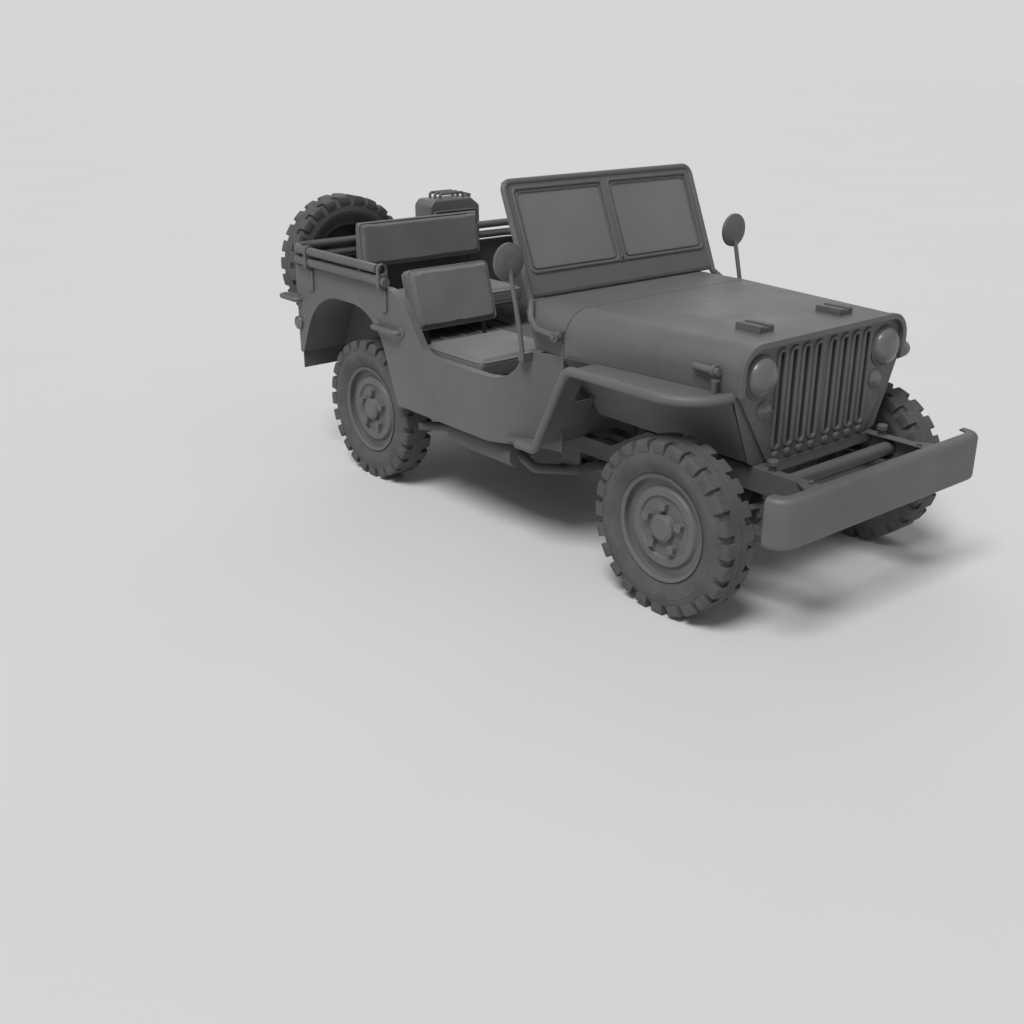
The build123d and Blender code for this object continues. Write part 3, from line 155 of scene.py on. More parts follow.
# Lamps and mirrors: profiles as radius and height, in shares of the lamp's or the mirror's radius
RIM_PROFILE = [(0.96, 0.00), (1.06, 0.00), (1.07, 0.05), (1.03, 0.10), (0.96, 0.09)]
REFLECTOR_R = 0.036
REFLECTOR_PROFILE = [
    (0, 0), (0.83, 0), (0.92, 0.33), (1.00, 0.56), (0.94, 0.67), (0.80, 0.67), (0.75, 0.56), (0.39, 0.67),
    (0, 0.69),
]
REFLECTOR_LEAD = 0.052
REFLECTOR_RISE = 0.155
REFLECTOR_SINK = 0.012
TAIL_LAMP_R = 0.043
TAIL_LAMP_PROFILE = [
    (0, 0), (0.70, 0), (0.93, 0.42), (0.93, 0.93), (1, 0.95), (1, 1.16), (0.84, 1.16), (0.79, 1.07),
    (0.42, 1.23), (0, 1.28),
]
TAIL_LAMP_INSET = 0.125
TAIL_LAMP_RISE = 0.145
HEAD_LAMP_R = 0.060
DOME_PROFILE = [
    (0, 0.02), (0.97, 0.02), (0.97, 0.10), (0.92, 0.25), (0.78, 0.41), (0.55, 0.51), (0.28, 0.56), (0, 0.575),
]
MIRROR_R = 0.077
MIRROR_PROFILE = [(0, 0), (0.92, 0), (0.935, 0.010), (0.91, 0.029), (0, 0.034)]

# Visor of a marker lamp: half width, drop below the lamp's middle and reach past its lens
VISOR_SINK = 0.024
VISOR = [(0.029, 0.008, 0.001), (0.006, 0.033, -0.006)]

# Grille: the part of its face that holds the slots, their rims, the toes below them in shares of half
# a slot's width, and the flange beside the slots as Y and height above the grille's foot
SLOTS_HALF = 0.300
SLOTS_FOOT = 0.040
SLOTS_HEAD = 0.025
SLOT_NEAR = 0.0005
SLOT_APART = 0.025
SLOT_RIM_R = 0.0092
TOE_DROP = 0.030
TOE_PROFILE = [(0, 0), (1.10, 0), (1.05, 0.30), (0.80, 0.58), (0.40, 0.74), (0, 0.78)]
FLANGE_SET = 0.012
FLANGE_T = 0.004
FLANGE = [
    (0.517, 0.300), (0.400, 0.016), (0.372, 0.001), (0.300, 0.001), (0.335, 0.058), (0.488, 0.292),
]

# Windshield: mouldings round the panes, beading on them, the divider with its clip, and the seal
MOULDING_R = 0.0075
MOULDING_OUT = 0.006
MOULDING_LEVEL = 0.0065
MOULDING_CORNER = 0.020
BEADING_R = 0.0035
BEADING_IN = 0.010
BEADING_LEVEL = 0.0055
DIVIDER_HALF = 0.011
DIVIDER_LEVEL = 0.012
DIVIDER_OVER = 0.014
CLIP_HALF = 0.030
CLIP_H = 0.012
SEAL_R = 0.0085
SEAL_HALF = 0.545
SEAL_DROP = 0.1050

# Dashboard: dials as Y, rise above DIAL_Z and radius; ticks and needles as shares of that radius
DIAL_Z = 0.085
DIALS = [
    (0.0, 0.0, 0.052), (0.098, -0.025, 0.027), (0.098, 0.037, 0.027), (-0.098, -0.025, 0.027),
    (-0.098, 0.037, 0.027),
]
DIAL_PROFILE = [(0, 0.003), (0.86, 0.003), (0.9, 0.009), (1, 0.009), (1.04, 0.004), (1, -0.002), (0, -0.002)]
DIAL_TICKS = 9
DIAL_SWEEP = 240
TICK_SPAN = (0.64, 0.80)
TICK_R = 0.0009
NEEDLE_TOWARD = (0, -0.6, 0.8)
NEEDLE_SPAN = (-0.15, 0.66)
NEEDLE_R = 0.0011
KNOB_Z = DIAL_Z / 2
KNOB_Y = (0.19, 0.235, -0.17, -0.215)
KNOB_PROFILE = [
    (0, -0.001), (0.006, -0.001), (0.006, 0.014), (0.012, 0.016), (0.012, 0.026), (0.009, 0.029), (0, 0.029),
]
DASH_RAIL_Y = (-0.48, -0.30)
DASH_RAIL_OUT = 0.046
DASH_RAIL_BEND = DASH_RAIL_OUT / 3
DASH_RAIL_R = 0.008

# Pedals: shift from the column, half length and half width; their arms as lead and height above the floor's
# underside
PEDAL_LEAN = (-0.82, 0, 0.57)
PEDAL_X = -0.161
PEDAL_ARM = [(0.093, 0.040), (0.022, 0.095), (0.0, 0.150)]
PEDALS = [(0.080, 0.036, 0.030), (-0.060, 0.036, 0.030), (-0.115, 0.060, 0.022)]
PEDAL_R = 0.008

# Bolts: a head or nut is radius and height; the clamp plate is half length, width past the bolts, thickness
COVER_BOLTS = 10
COVER_R = 0.072
COVER_Y = -0.170
COVER_REACH = 0.118
COVER_BOLT = (0.009, 0.007)
RAIL_DROP = 0.020
RAIL_INSET = 0.0255
RAIL_BOLTS_X = (-0.110, -0.042)
RAIL_BOLT = (0.012, 0.010)
STAY_LEAD = 0.064
STAY_R = 0.012
STAY_H = 0.022
STAY_HEAD = (0.023, 0.022)
CLAMP_X = 0.034
CLAMP_R = 0.006
CLAMP_GAP = 0.009
CLAMP_TOP = 0.042
CLAMP_STEPS = 9
CLAMP_NUT = (0.011, 0.012)
CLAMP_PLATE = (0.055, 0.018, 0.0085)

# Fittings: the can's rim is width, height and corner; floor ribs are from and to ahead of the body's rear,
# height above the floor's underside and each rib's Y
CAN_D = 0.160
CAN_CROSS = (0.105, 0.145)
CAN_RIM = (0.320, 0.360, 0.040)
CAN_Z = 0.210
CAN_RIB_R = (0.010, 0.006)
FOOT_PROFILE = [(0, 0), (0.026, 0), (0.026, 0.004), (0.022, 0.007), (0.014, 0.009), (0, 0.009)]
HANDLE_R = 0.013
RIB_R = 0.008
REAR_RIBS = ((0.1345, 1.0345), 0.1425, (-0.36, -0.24, -0.12, 0.0, 0.12, 0.24, 0.36))
FRONT_RIBS = ((1.4945, 1.8245), 0.0055, (-0.50, -0.40, -0.30, 0.30, 0.40, 0.50))


# Materials


def grey(tone, share=1.0):
    """Linear colour of a display grey."""
    value = min(1.0, tone * share)
    linear = ((value + DISPLAY_OFFSET) / (1 + DISPLAY_OFFSET)) ** DISPLAY_GAMMA
    return (linear, linear, linear * BLUE_SHARE, 1.0)


class Look:
    """A node material with object coordinates and a few short cuts for its nodes."""

    def __init__(self, name):
        self.material = bpy.data.materials.new(name)
        self.material.use_nodes = True
        self.tree = self.material.node_tree
        self.shader = self.tree.nodes["Principled BSDF"]
        self.coords = self.tree.nodes.new("ShaderNodeTexCoord").outputs["Object"]

    def node(self, kind, inputs=None, **settings):
        """New node; an input is a constant or another node's socket."""
        made = self.tree.nodes.new(kind)
        for key, value in settings.items():
            setattr(made, key, value)
        for key, value in (inputs or {}).items():
            if isinstance(value, bpy.types.NodeSocket):
                self.tree.links.new(value, made.inputs[key])
            else:
                made.inputs[key].default_value = value
        return made

    def noise(self, scale, detail=4.0, stretch=(1, 1, 1)):
        """Cloudy pattern."""
        spot = self.node("ShaderNodeMapping", {"Vector": self.coords, "Scale": stretch})
        made = self.node("ShaderNodeTexNoise", {"Vector": spot.outputs[0], "Scale": scale, "Detail": detail})
        return made.outputs[0]

    def waves(self, scale, turn=(0, 0, 0)):
        """Even bands."""
        spot = self.node("ShaderNodeMapping", {"Vector": self.coords, "Rotation": turn})
        return self.node("ShaderNodeTexWave", {"Vector": spot.outputs[0], "Scale": scale}).outputs[1]

    def remap(self, value, low, high, start=NOISE_SPAN[0], end=NOISE_SPAN[1]):
        """Value that runs from low to high while the given one runs from start to end."""
        made = self.node("ShaderNodeMapRange", {0: value, 1: start, 2: end, 3: low, 4: high})
        return made.outputs[0]

    def tint(self, value, tone, dark, light):
        """Grey that runs from a dark to a light share of a tone."""
        ramp = self.node("ShaderNodeValToRGB", {"Fac": value})
        for element, position, share in zip(ramp.color_ramp.elements, NOISE_SPAN, (dark, light)):
            element.position = position
            element.color = grey(tone, share)
        return ramp.outputs[0]

    def mix(self, share, first, second):
        """Colour between two; sockets 6 and 7 are the node's colour inputs."""
        inputs = {0: share, 6: first, 7: second}
        return self.node("ShaderNodeMix", inputs, data_type="RGBA").outputs[2]

    def times(self, first, second):
        """Product of two values."""
        return self.node("ShaderNodeMath", {0: first, 1: second}, operation="MULTIPLY").outputs[0]

    def edges(self, radius):
        """Rounded normal, and a mask that is 1 on outer and inner edges."""
        rounded = self.node("ShaderNodeBevel", {"Radius": radius}, samples=4).outputs[0]
        flat = self.node("ShaderNodeNewGeometry").outputs["Normal"]
        match = self.node("ShaderNodeVectorMath", {0: rounded, 1: flat}, operation="DOT_PRODUCT")
        return rounded, self.remap(match.outputs["Value"], low=1.0, high=0.0, start=0.82, end=0.99)

    def bump(self, height, strength, distance, normal=None):
        """Normal bent by a height."""
        inputs = {"Height": height, "Strength": strength, "Distance": distance}
        if normal is not None:
            inputs["Normal"] = normal
        return self.node("ShaderNodeBump", inputs).outputs[0]

    def use(self, colour=None, roughness=None, normal=None):
        """Links what is given to the shader, and returns the material."""
        for key, value in (("Base Color", colour), ("Roughness", roughness), ("Normal", normal)):
            if value is not None:
                self.tree.links.new(value, self.shader.inputs[key])
        return self.material


def painted(name, tone, rough, wear):
    """Matt paint over sheet metal: faint clouds, dust, an orange-peel skin and rubbed edges."""
    look = Look(name)
    clouds = look.tint(look.noise(scale=2.3, detail=6), tone, dark=0.96, light=1.03)
    dust = look.remap(look.noise(scale=11, detail=8), low=0.0, high=0.22, start=0.5, end=0.75)
    colour = look.mix(dust, clouds, grey(tone, share=1.14))
    rounded, edge = look.edges(radius=0.004)
    patches = look.remap(look.noise(scale=38, detail=6), low=0.0, high=wear)
    colour = look.mix(look.times(edge, patches), colour, grey(tone, share=1.3))
    skin = look.bump(look.noise(scale=240, detail=3), strength=0.12, distance=0.0006, normal=rounded)
    gloss = look.remap(look.noise(scale=6, detail=6), low=rough - 0.06, high=rough + 0.08)
    return look.use(colour, gloss, skin)


def rubber():
    """Dusty rubber with a fine grain."""
    look = Look("tyre_rubber")
    clouds = look.tint(look.noise(scale=9, detail=8), RUBBER_TONE, dark=0.9, light=1.06)
    dust = look.remap(look.noise(scale=30, detail=8), low=0.0, high=0.35, start=0.48, end=0.72)
    colour = look.mix(dust, clouds, grey(RUBBER_TONE, share=1.18))
    grain = look.bump(look.noise(scale=420, detail=4), strength=0.25, distance=0.0007)
    return look.use(colour, look.remap(look.noise(scale=16), low=0.68, high=0.88), grain)


def canvas():
    """Plain weave about 4 mm across, with sun-faded patches and faint creases."""
    look = Look("seat_canvas")
    warp = look.waves(scale=78, turn=(0, 0, math.radians(90)))
    weft = look.waves(scale=110, turn=(0, math.radians(45), 0))
    weave = look.times(warp, weft)
    faded = look.tint(look.noise(scale=5, detail=7), CANVAS_TONE, dark=0.94, light=1.04)
    thread = look.remap(weave, low=0.0, high=0.2, start=0.1, end=0.9)
    colour = look.mix(thread, faded, grey(CANVAS_TONE, share=1.14))
    creased = look.bump(look.noise(scale=28, detail=5), strength=0.2, distance=0.003)
    woven = look.bump(weave, strength=0.35, distance=0.0006, normal=creased)
    look.shader.inputs["Sheen Weight"].default_value = 0.15
    return look.use(colour, look.remap(look.noise(scale=20), low=0.8, high=0.95), woven)


def dusty_pane():
    """Opaque grey pane with a film of dust and fine specks."""
    look = Look("windshield_pane")
    film = look.tint(look.noise(scale=3.5, detail=9), PANE_TONE, dark=0.97, light=1.03)
    specks = look.remap(look.noise(scale=140, detail=6), low=0.0, high=0.2, start=0.58, end=0.75)
    colour = look.mix(specks, film, grey(PANE_TONE, share=1.2))
    look.shader.inputs["Coat Weight"].default_value = 0.2
    return look.use(colour, look.remap(look.noise(scale=7, detail=8), low=0.34, high=0.5))


def lamp_lens():
    """Lamp bowl and lens: satin, with faint upright flutes."""
    look = Look("lamp_lens")
    film = look.tint(look.noise(scale=14, detail=6), LENS_TONE, dark=0.95, light=1.05)
    bands = look.waves(scale=26, turn=(0, 0, math.radians(90)))
    flutes = look.bump(bands, strength=0.12, distance=0.001)
    look.shader.inputs["Coat Weight"].default_value = 0.25
    return look.use(film, look.remap(look.noise(scale=20), low=0.32, high=0.44), flutes)


def painted_wood():
    """Painted block whose grain runs along X."""
    look = Look("painted_wood")
    grain = look.noise(scale=60, detail=6, stretch=(0.12, 1, 1))
    colour = look.tint(grain, WOOD_TONE, dark=0.88, light=1.06)
    relief = look.bump(grain, strength=0.35, distance=0.001)
    return look.use(colour, look.remap(look.noise(scale=30), low=0.6, high=0.8), relief)


def control_plastic():
    """Smooth dark moulding of the controls."""
    look = Look("control_plastic")
    colour = look.tint(look.noise(scale=18, detail=5), CONTROL_TONE, dark=0.92, light=1.08)
    skin = look.bump(look.noise(scale=500, detail=3), strength=0.08, distance=0.0004)
    return look.use(colour, look.remap(look.noise(scale=40), low=0.35, high=0.5), skin)


def mirror_glass():
    """Silvered glass with a faint film."""
    look = Look("mirror_glass")
    look.shader.inputs["Metallic"].default_value = 1.0
    film = look.tint(look.noise(scale=20, detail=7), MIRROR_TONE, dark=0.94, light=1.03)
    return look.use(film, look.remap(look.noise(scale=24, detail=8), low=0.06, high=0.2))


looks = {
    "body_paint": painted("body_paint", BODY_TONE, rough=0.5, wear=0.45),
    "chassis_paint": painted("chassis_paint", CHASSIS_TONE, rough=0.58, wear=0.5),
    "tyre_rubber": rubber(),
    "seat_canvas": canvas(),
    "pane": dusty_pane(),
    "lamp_lens": lamp_lens(),
    "wood_block": painted_wood(),
    "control_plastic": control_plastic(),
}
for row in record["subparts"]:
    node = frame["nodes"][row["node"]]
    node.data.materials.clear()
    node.data.materials.append(looks[row["material_slot"]])


# Mesh helpers


def facing(origin, direction):
    """Matrix that puts local Z along a direction at an origin."""
    turn = Vector((0, 0, 1)).rotation_difference(Vector(direction))
    return Matrix.Translation(origin) @ turn.to_matrix().to_4x4()


def scaled(profile, size):
    """Profile in shares of a size, as real sizes."""
    return [(radius * size, height * size) for radius, height in profile]


def add_rows(bm, rows, closed):
    """Joins rings of vertices, a ring of one vertex being a pole; closed joins the last ring to the first."""
    pairs = list(zip(rows, rows[1:]))
    if closed:
        pairs.append((rows[-1], rows[0]))
    for low, high in pairs:
        count = max(len(low), len(high))
        for index in range(count):
            after = (index + 1) % count
            if len(low) == 1:
                bm.faces.new((low[0], high[after], high[index]))
            elif len(high) == 1:
                bm.faces.new((low[index], low[after], high[0]))
            else:
                bm.faces.new((low[index], low[after], high[after], high[index]))


def add_lathe(bm, profile, place, steps=TURNED_STEPS, closed=False):
    """Turns a profile of (radius, height) about local Z."""
    rows = []
    for radius, height in profile:
        if radius == 0:
            rows.append([bm.verts.new(place @ Vector((0, 0, height)))])
            continue
        ring = []
        for index in range(steps):
            angle = 2 * math.pi * index / steps
            point = Vector((radius * math.cos(angle), radius * math.sin(angle), height))
            ring.append(bm.verts.new(place @ point))
        rows.append(ring)
    add_rows(bm, rows, closed)


def add_tube(bm, points, radius, sides=BAR_SIDES, closed=False):
    """Round bar along points; closed joins its end to its start."""
    points = [Vector(point) for point in points]
    count = len(points)
    tangents = []
    for index, point in enumerate(points):
        before = points[index - 1] if index or closed else point
        after = points[(index + 1) % count] if index < count - 1 or closed else point
        tangents.append((after - before).normalized())
    side = tangents[0].orthogonal().normalized()
    rows = []
    for index, point in enumerate(points):
        if index:
            side = tangents[index - 1].rotation_difference(tangents[index]) @ side
        other = tangents[index].cross(side)
        ring = []
        for step in range(sides):
            angle = 2 * math.pi * step / sides
            ring.append(bm.verts.new(point + radius * (math.cos(angle) * side + math.sin(angle) * other)))
        rows.append(ring)
    add_rows(bm, rows, closed)
    if not closed:
        bm.faces.new(rows[0][::-1])
        bm.faces.new(rows[-1])


def add_box(bm, low, high, bevel, place=None):
    """Box between two corners with bevelled edges."""
    place = place or Matrix.Identity(4)
    corners = [(x, y, z) for x in (low[0], high[0]) for y in (low[1], high[1]) for z in (low[2], high[2])]
    verts = [bm.verts.new(place @ Vector(corner)) for corner in corners]
    faces = [(0, 1, 3, 2), (4, 6, 7, 5), (0, 4, 5, 1), (2, 3, 7, 6), (0, 2, 6, 4), (1, 5, 7, 3)]
    made = [bm.faces.new([verts[index] for index in face]) for face in faces]
    edges = {edge for face in made for edge in face.edges}
    bmesh.ops.bevel(
        bm, geom=list(edges), offset=bevel, segments=BEVEL_SEGMENTS, affect="EDGES", profile=BEVEL_PROFILE)


def add_hex(bm, place, radius, height):
    """Hex bolt head with a chamfered top, standing on local Z."""
    profile = [(0, 0), (radius, 0), (radius, HEX_SHOULDER * height), (HEX_TOP * radius, height), (0, height)]
    add_lathe(bm, profile, place, steps=6)


def linked(name, data):
    """New object, linked to the scene."""
    made = bpy.data.objects.new(name, data)
    bpy.context.scene.collection.objects.link(made)
    return made


def finished_mesh(name, bm, look, sharp):
    """Mesh from a bmesh with its normals outward, smooth apart from its sharp edges."""
    bmesh.ops.recalc_face_normals(bm, faces=bm.faces)
    mesh = bpy.data.meshes.new(name)
    bm.to_mesh(mesh)
    bm.free()
    mesh.materials.append(look)
    mesh.polygons.foreach_set("use_smooth", [True] * len(mesh.polygons))
    mesh.set_sharp_from_angle(angle=math.radians(sharp))
    return mesh


def new_piece(name, bm, body, slot, look=None, sharp=SHARP_DEG):
    """Object from a bmesh, riding on a body, with the look of a record slot unless another look is given."""
    piece = linked(name, finished_mesh(name, bm, look or looks[slot], sharp))
    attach(piece, body)
    return piece


def rounded_loop(width, height, corner, steps=CORNER_STEPS):
    """Points of a rounded rectangle about the origin."""
    points = []
    for turn, (sx, sy) in enumerate(((1, 1), (-1, 1), (-1, -1), (1, -1))):
        for step in range(steps + 1):
            angle = math.radians(90 * turn + 90 * step / steps)
            points.append((
                sx * (width / 2 - corner) + corner * math.cos(angle),
                sy * (height / 2 - corner) + corner * math.sin(angle),
            ))
    return points


# Solids of the frame


def solids_of(node):
    """One bmesh for each separate solid of a node."""
    whole = bmesh.new()
    whole.from_mesh(frame["nodes"][node].data)
    bmesh.ops.remove_doubles(whole, verts=whole.verts, dist=WELD)
    left = set(whole.verts)
    parts = []
    while left:
        group = set()
        reach = [min(left, key=lambda vert: vert.index)]
        while reach:
            vert = reach.pop()
            if vert in group:
                continue
            group.add(vert)
            reach.extend(edge.other_vert(vert) for edge in vert.link_edges)
        left -= group
        part = bmesh.new()
        twin = {vert: part.verts.new(vert.co) for vert in sorted(group, key=lambda vert: vert.index)}
        for face in whole.faces:
            if face.verts[0] in group:
                part.faces.new([twin[vert] for vert in face.verts])
        parts.append(part)
    whole.free()
    return parts


def boxes_of(node):
    """Low and high corner of each separate solid of a node."""
    boxes = []
    for part in solids_of(node):
        axes = list(zip(*(vert.co for vert in part.verts)))
        boxes.append((Vector([min(axis) for axis in axes]), Vector([max(axis) for axis in axes])))
        part.free()
    return boxes


def sheet_axes(part):
    """Middle of a flat solid that may lean back, its directions across, up and out, and its half sizes."""
    points = [vert.co.copy() for vert in part.verts]
    centre = sum(points, Vector()) / len(points)
    sxx = sum((p.x - centre.x) ** 2 for p in points)
    szz = sum((p.z - centre.z) ** 2 for p in points)
    sxz = sum((p.x - centre.x) * (p.z - centre.z) for p in points)
    angle = 0.5 * math.atan2(2 * sxz, sxx - szz)
    up = Vector((math.cos(angle), 0, math.sin(angle)))
    if up.z < 0:
        up.negate()
    across = Vector((0, 1, 0))
    axes = [across, up, across.cross(up)]
    middle = Vector()
    halves = []
    for axis in axes:
        reach = [p.dot(axis) for p in points]
        middle += axis * (min(reach) + max(reach)) / 2
        halves.append((max(reach) - min(reach)) / 2)
    return middle, axes, halves


# Tyres


def tyre_mesh(radius, half):
    """Carcass with a split centre band and staggered shoulder lugs, axle along local Z."""
    floor = radius - TREAD_DEPTH
    side = [(r, BEAD_D) for r in BEAD] + [(r, half - inset) for r, inset in SIDEWALL]
    side += [(floor, half - TREAD_SHOULDER), (floor, CENTRE_HALF + CENTRE_EDGE)]
    side += [(radius, CENTRE_HALF - CENTRE_EDGE), (radius, SPLIT_HALF)]
    side.append((radius - SPLIT_DEPTH, SPLIT_HALF / 2))
    bm = bmesh.new()
    add_lathe(bm, side + [(r, -d) for r, d in reversed(side)], Matrix.Identity(4), TYRE_STEPS, closed=True)
    root = CENTRE_HALF - 2 * CENTRE_EDGE
    lug = [(floor - LUG_SINK, root), (radius, root)]
    lug += [(radius - depth, half - inset) for depth, inset in LUG_SIDE]
    pitch = 2 * math.pi / LUG_COUNT
    for sign, shift in ((1, 0.0), (-1, LUG_STAGGER)):
        for index in range(LUG_COUNT):
            rows = []
            for step in range(LUG_STEPS + 1):
                angle = pitch * (index + shift + LUG_SHARE * step / LUG_STEPS)
                turn = Vector((math.cos(angle), math.sin(angle), 0))
                rows.append([bm.verts.new(turn * r + Vector((0, 0, sign * d))) for r, d in lug])
            add_rows(bm, rows, False)
            ends = [bm.faces.new(rows[0][::-1]), bm.faces.new(rows[-1])]
            rims = {edge for face in ends for edge in face.edges}
            bmesh.ops.bevel(bm, geom=list(rims), offset=LUG_BEVEL, segments=1, affect="EDGES")
    return finished_mesh("lugged_tyre", bm, looks["tyre_rubber"], TYRE_SHARP_DEG)


def make_tyres():
    """One lugged mesh in place of each of the five plain tyres."""
    low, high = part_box("front_left_tyre")
    mesh = tyre_mesh((high.z - low.z) / 2, (high.y - low.y) / 2)
    corners = [f"{end}_{side}" for end in ("front", "rear") for side in ("left", "right")]
    rows = [(corner, f"{corner}_wheel", (0, 1, 0)) for corner in corners]
    for name, body, axle in rows + [("spare", "chassis", (1, 0, 0))]:
        low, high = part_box(f"{name}_tyre")
        piece = linked(f"{name}_lugged_tyre", mesh)
        piece.matrix_world = facing((low + high) / 2, axle)
        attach(piece, body)
        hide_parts(f"{name}_tyre")


# Seat pads


def swollen(part, name):
    """Pad remeshed, shrunk and blown up as cloth, each point moving outward by no more than a cap."""
    mesh = bpy.data.meshes.new(name)
    part.to_mesh(mesh)
    piece = linked(name, mesh)
    scene = bpy.context.scene
    remesh = piece.modifiers.new("remesh", "REMESH")
    remesh.mode = "VOXEL"
    remesh.voxel_size = PAD_VOXEL
    solid = bpy.data.meshes.new_from_object(piece.evaluated_get(bpy.context.evaluated_depsgraph_get()))
    piece.modifiers.clear()
    piece.data = solid
    normals = [vert.normal.copy() for vert in solid.vertices]
    for vert, normal in zip(solid.vertices, normals):
        vert.co -= normal * PAD_SHRINK
    start = [vert.co.copy() for vert in solid.vertices]
    cloth = piece.modifiers.new("cloth", "CLOTH")
    cloth.settings.use_pressure = True
    cloth.settings.uniform_pressure_force = PAD_PRESSURE
    cloth.settings.effector_weights.gravity = 0
    cloth.point_cache.frame_end = PAD_FRAMES
    for step in range(1, PAD_FRAMES + 1):
        scene.frame_set(step)
    blown = bpy.data.meshes.new_from_object(piece.evaluated_get(bpy.context.evaluated_depsgraph_get()))
    for vert, home, normal in zip(blown.vertices, start, normals):
        swell = (vert.co - home).dot(normal)
        vert.co = home + normal * min(max(swell, 0.0), PAD_CAP)
    bpy.data.objects.remove(piece)
    scene.frame_set(1)
    return blown


def make_pads(node, name):
    """Swollen pads in place of a node's plain solids, and the piping sewn round their edges."""
    pads = bmesh.new()
    piping = bmesh.new()
    for index, part in enumerate(solids_of(node)):
        middle, (across, up, out), halves = sheet_axes(part)
        pad = swollen(part, f"{name}_{index}")
        pads.from_mesh(pad)
        part.free()
        surface = BVHTree.FromPolygons([v.co for v in pad.vertices], [p.vertices for p in pad.polygons])
        width, height = [2 * (half - PIPING_INSET) for half in halves[:2]]
        for sign in (1, -1):
            level = middle + out * sign * (halves[2] - PIPING_LEVEL)
            loop = []
            for a, b in rounded_loop(width, height, PIPING_CORNER, PIPING_STEPS):
                loop.append(surface.find_nearest(level + across * a + up * b)[0])
            add_tube(piping, loop, PIPING_R, BEAD_SIDES, closed=True)
    bmesh.ops.subdivide_edges(pads, edges=pads.edges, cuts=1, use_grid_fill=True, smooth=PAD_SMOOTH)
    cushions = new_piece(f"{name}_cushions", pads, "chassis", "seat_canvas", sharp=PAD_SHARP_DEG)
    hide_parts(node)
    new_piece(f"{name}_piping", piping, "chassis", "seat_canvas")


# Trim


def body_sides():
    """Y of the body's outer face on the right (-1) and on the left (1)."""
    return {-1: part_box("right_body_side")[0].y, 1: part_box("left_body_side")[1].y}


def make_reflectors():
    """Round reflectors on the body's sides, near the rear corners."""
    bm = bmesh.new()
    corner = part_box("rear_panel")[0]
    x, z = corner.x + REFLECTOR_LEAD, corner.z + REFLECTOR_RISE
    profile = scaled(REFLECTOR_PROFILE, REFLECTOR_R)
    for out, y in body_sides().items():
        add_lathe(bm, profile, facing((x, y - out * REFLECTOR_SINK, z), (0, out, 0)))
    new_piece("side_reflectors", bm, "chassis", "lamp_lens")


def make_tail_lamps():
    """A lamp at each end of the rear panel."""
    bm = bmesh.new()
    low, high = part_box("rear_panel")
    for y in (low.y + TAIL_LAMP_INSET, high.y - TAIL_LAMP_INSET):
        place = facing((low.x, y, low.z + TAIL_LAMP_RISE), (-1, 0, 0))
        add_lathe(bm, scaled(TAIL_LAMP_PROFILE, TAIL_LAMP_R), place)
    new_piece("tail_lamps", bm, "chassis", "lamp_lens")


def make_lamp_trim():
    """Rim ring of each lamp, domed lenses of the head lamps and visors of the small marker lamps."""
    bm = bmesh.new()
    domes = bmesh.new()
    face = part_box("grille")[1].x
    for low, high in boxes_of("front_lamps"):
        radius = (high.z - low.z) / 2
        centre = (low + high) / 2
        ring = facing((face, centre.y, centre.z), (1, 0, 0))
        add_lathe(bm, scaled(RIM_PROFILE, radius), ring, LAMP_STEPS, closed=True)
        if radius > HEAD_LAMP_R:
            add_lathe(domes, scaled(DOME_PROFILE, radius), ring, LAMP_STEPS)
            continue
        for half, drop, out in VISOR:
            back = (high.x - VISOR_SINK, centre.y - half, centre.z - drop)
            add_box(bm, back, (high.x + out, centre.y + half, centre.z), SOFT)
    new_piece("lamp_rims", bm, "chassis", "body_paint")
    new_piece("lamp_domes", domes, "chassis", "lamp_lens")


def grille_slots():
    """Low and high corner of each slot, from the vertices of the grille's front face."""
    low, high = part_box("grille")
    rim = []
    for vert in frame["nodes"]["grille"].data.vertices:
        inside = abs(vert.co.y) < SLOTS_HALF and low.z + SLOTS_FOOT < vert.co.z < high.z - SLOTS_HEAD
        if inside and high.x - vert.co.x < SLOT_NEAR:
            rim.append(vert.co)
    rim.sort(key=lambda point: point.y)
    groups = [[rim[0]]]
    for before, point in zip(rim, rim[1:]):
        if point.y - before.y > SLOT_APART:
            groups.append([])
        groups[-1].append(point)
    slots = []
    for group in groups:
        heights = [point.z for point in group]
        foot = Vector((high.x, group[0].y, min(heights)))
        slots.append((foot, Vector((high.x, group[-1].y, max(heights)))))
    return slots


def make_grille_trim():
    """Pressed rim round each slot and the rounded toe below it."""
    bm = bmesh.new()
    for low, high in grille_slots():
        middle = (low + high) / 2
        width, height = high.y - low.y, high.z - low.z
        loop = rounded_loop(width + SLOT_RIM_R, height + SLOT_RIM_R, (width + SLOT_RIM_R) / 2 - SOFT)
        add_tube(bm, [middle + Vector((0, a, b)) for a, b in loop], SLOT_RIM_R, RIB_SIDES, closed=True)
        toe = facing((low.x, middle.y, low.z - TOE_DROP), (1, 0, 0))
        add_lathe(bm, scaled(TOE_PROFILE, width / 2), toe, SMALL_STEPS)
    new_piece("grille_pressing", bm, "chassis", "body_paint")


def make_flanges():
    """Plates that join the grille's sides to the fenders' aprons."""
    bm = bmesh.new()
    low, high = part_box("grille")
    front = high.x - FLANGE_SET
    for side in (1, -1):
        rows = []
        for x in (front, front - FLANGE_T):
            rows.append([bm.verts.new((x, side * y, low.z + rise)) for y, rise in FLANGE])
        add_rows(bm, rows, False)
        bm.faces.new(rows[0][::-1])
        bm.faces.new(rows[1])
    new_piece("apron_flanges", bm, "chassis", "body_paint")


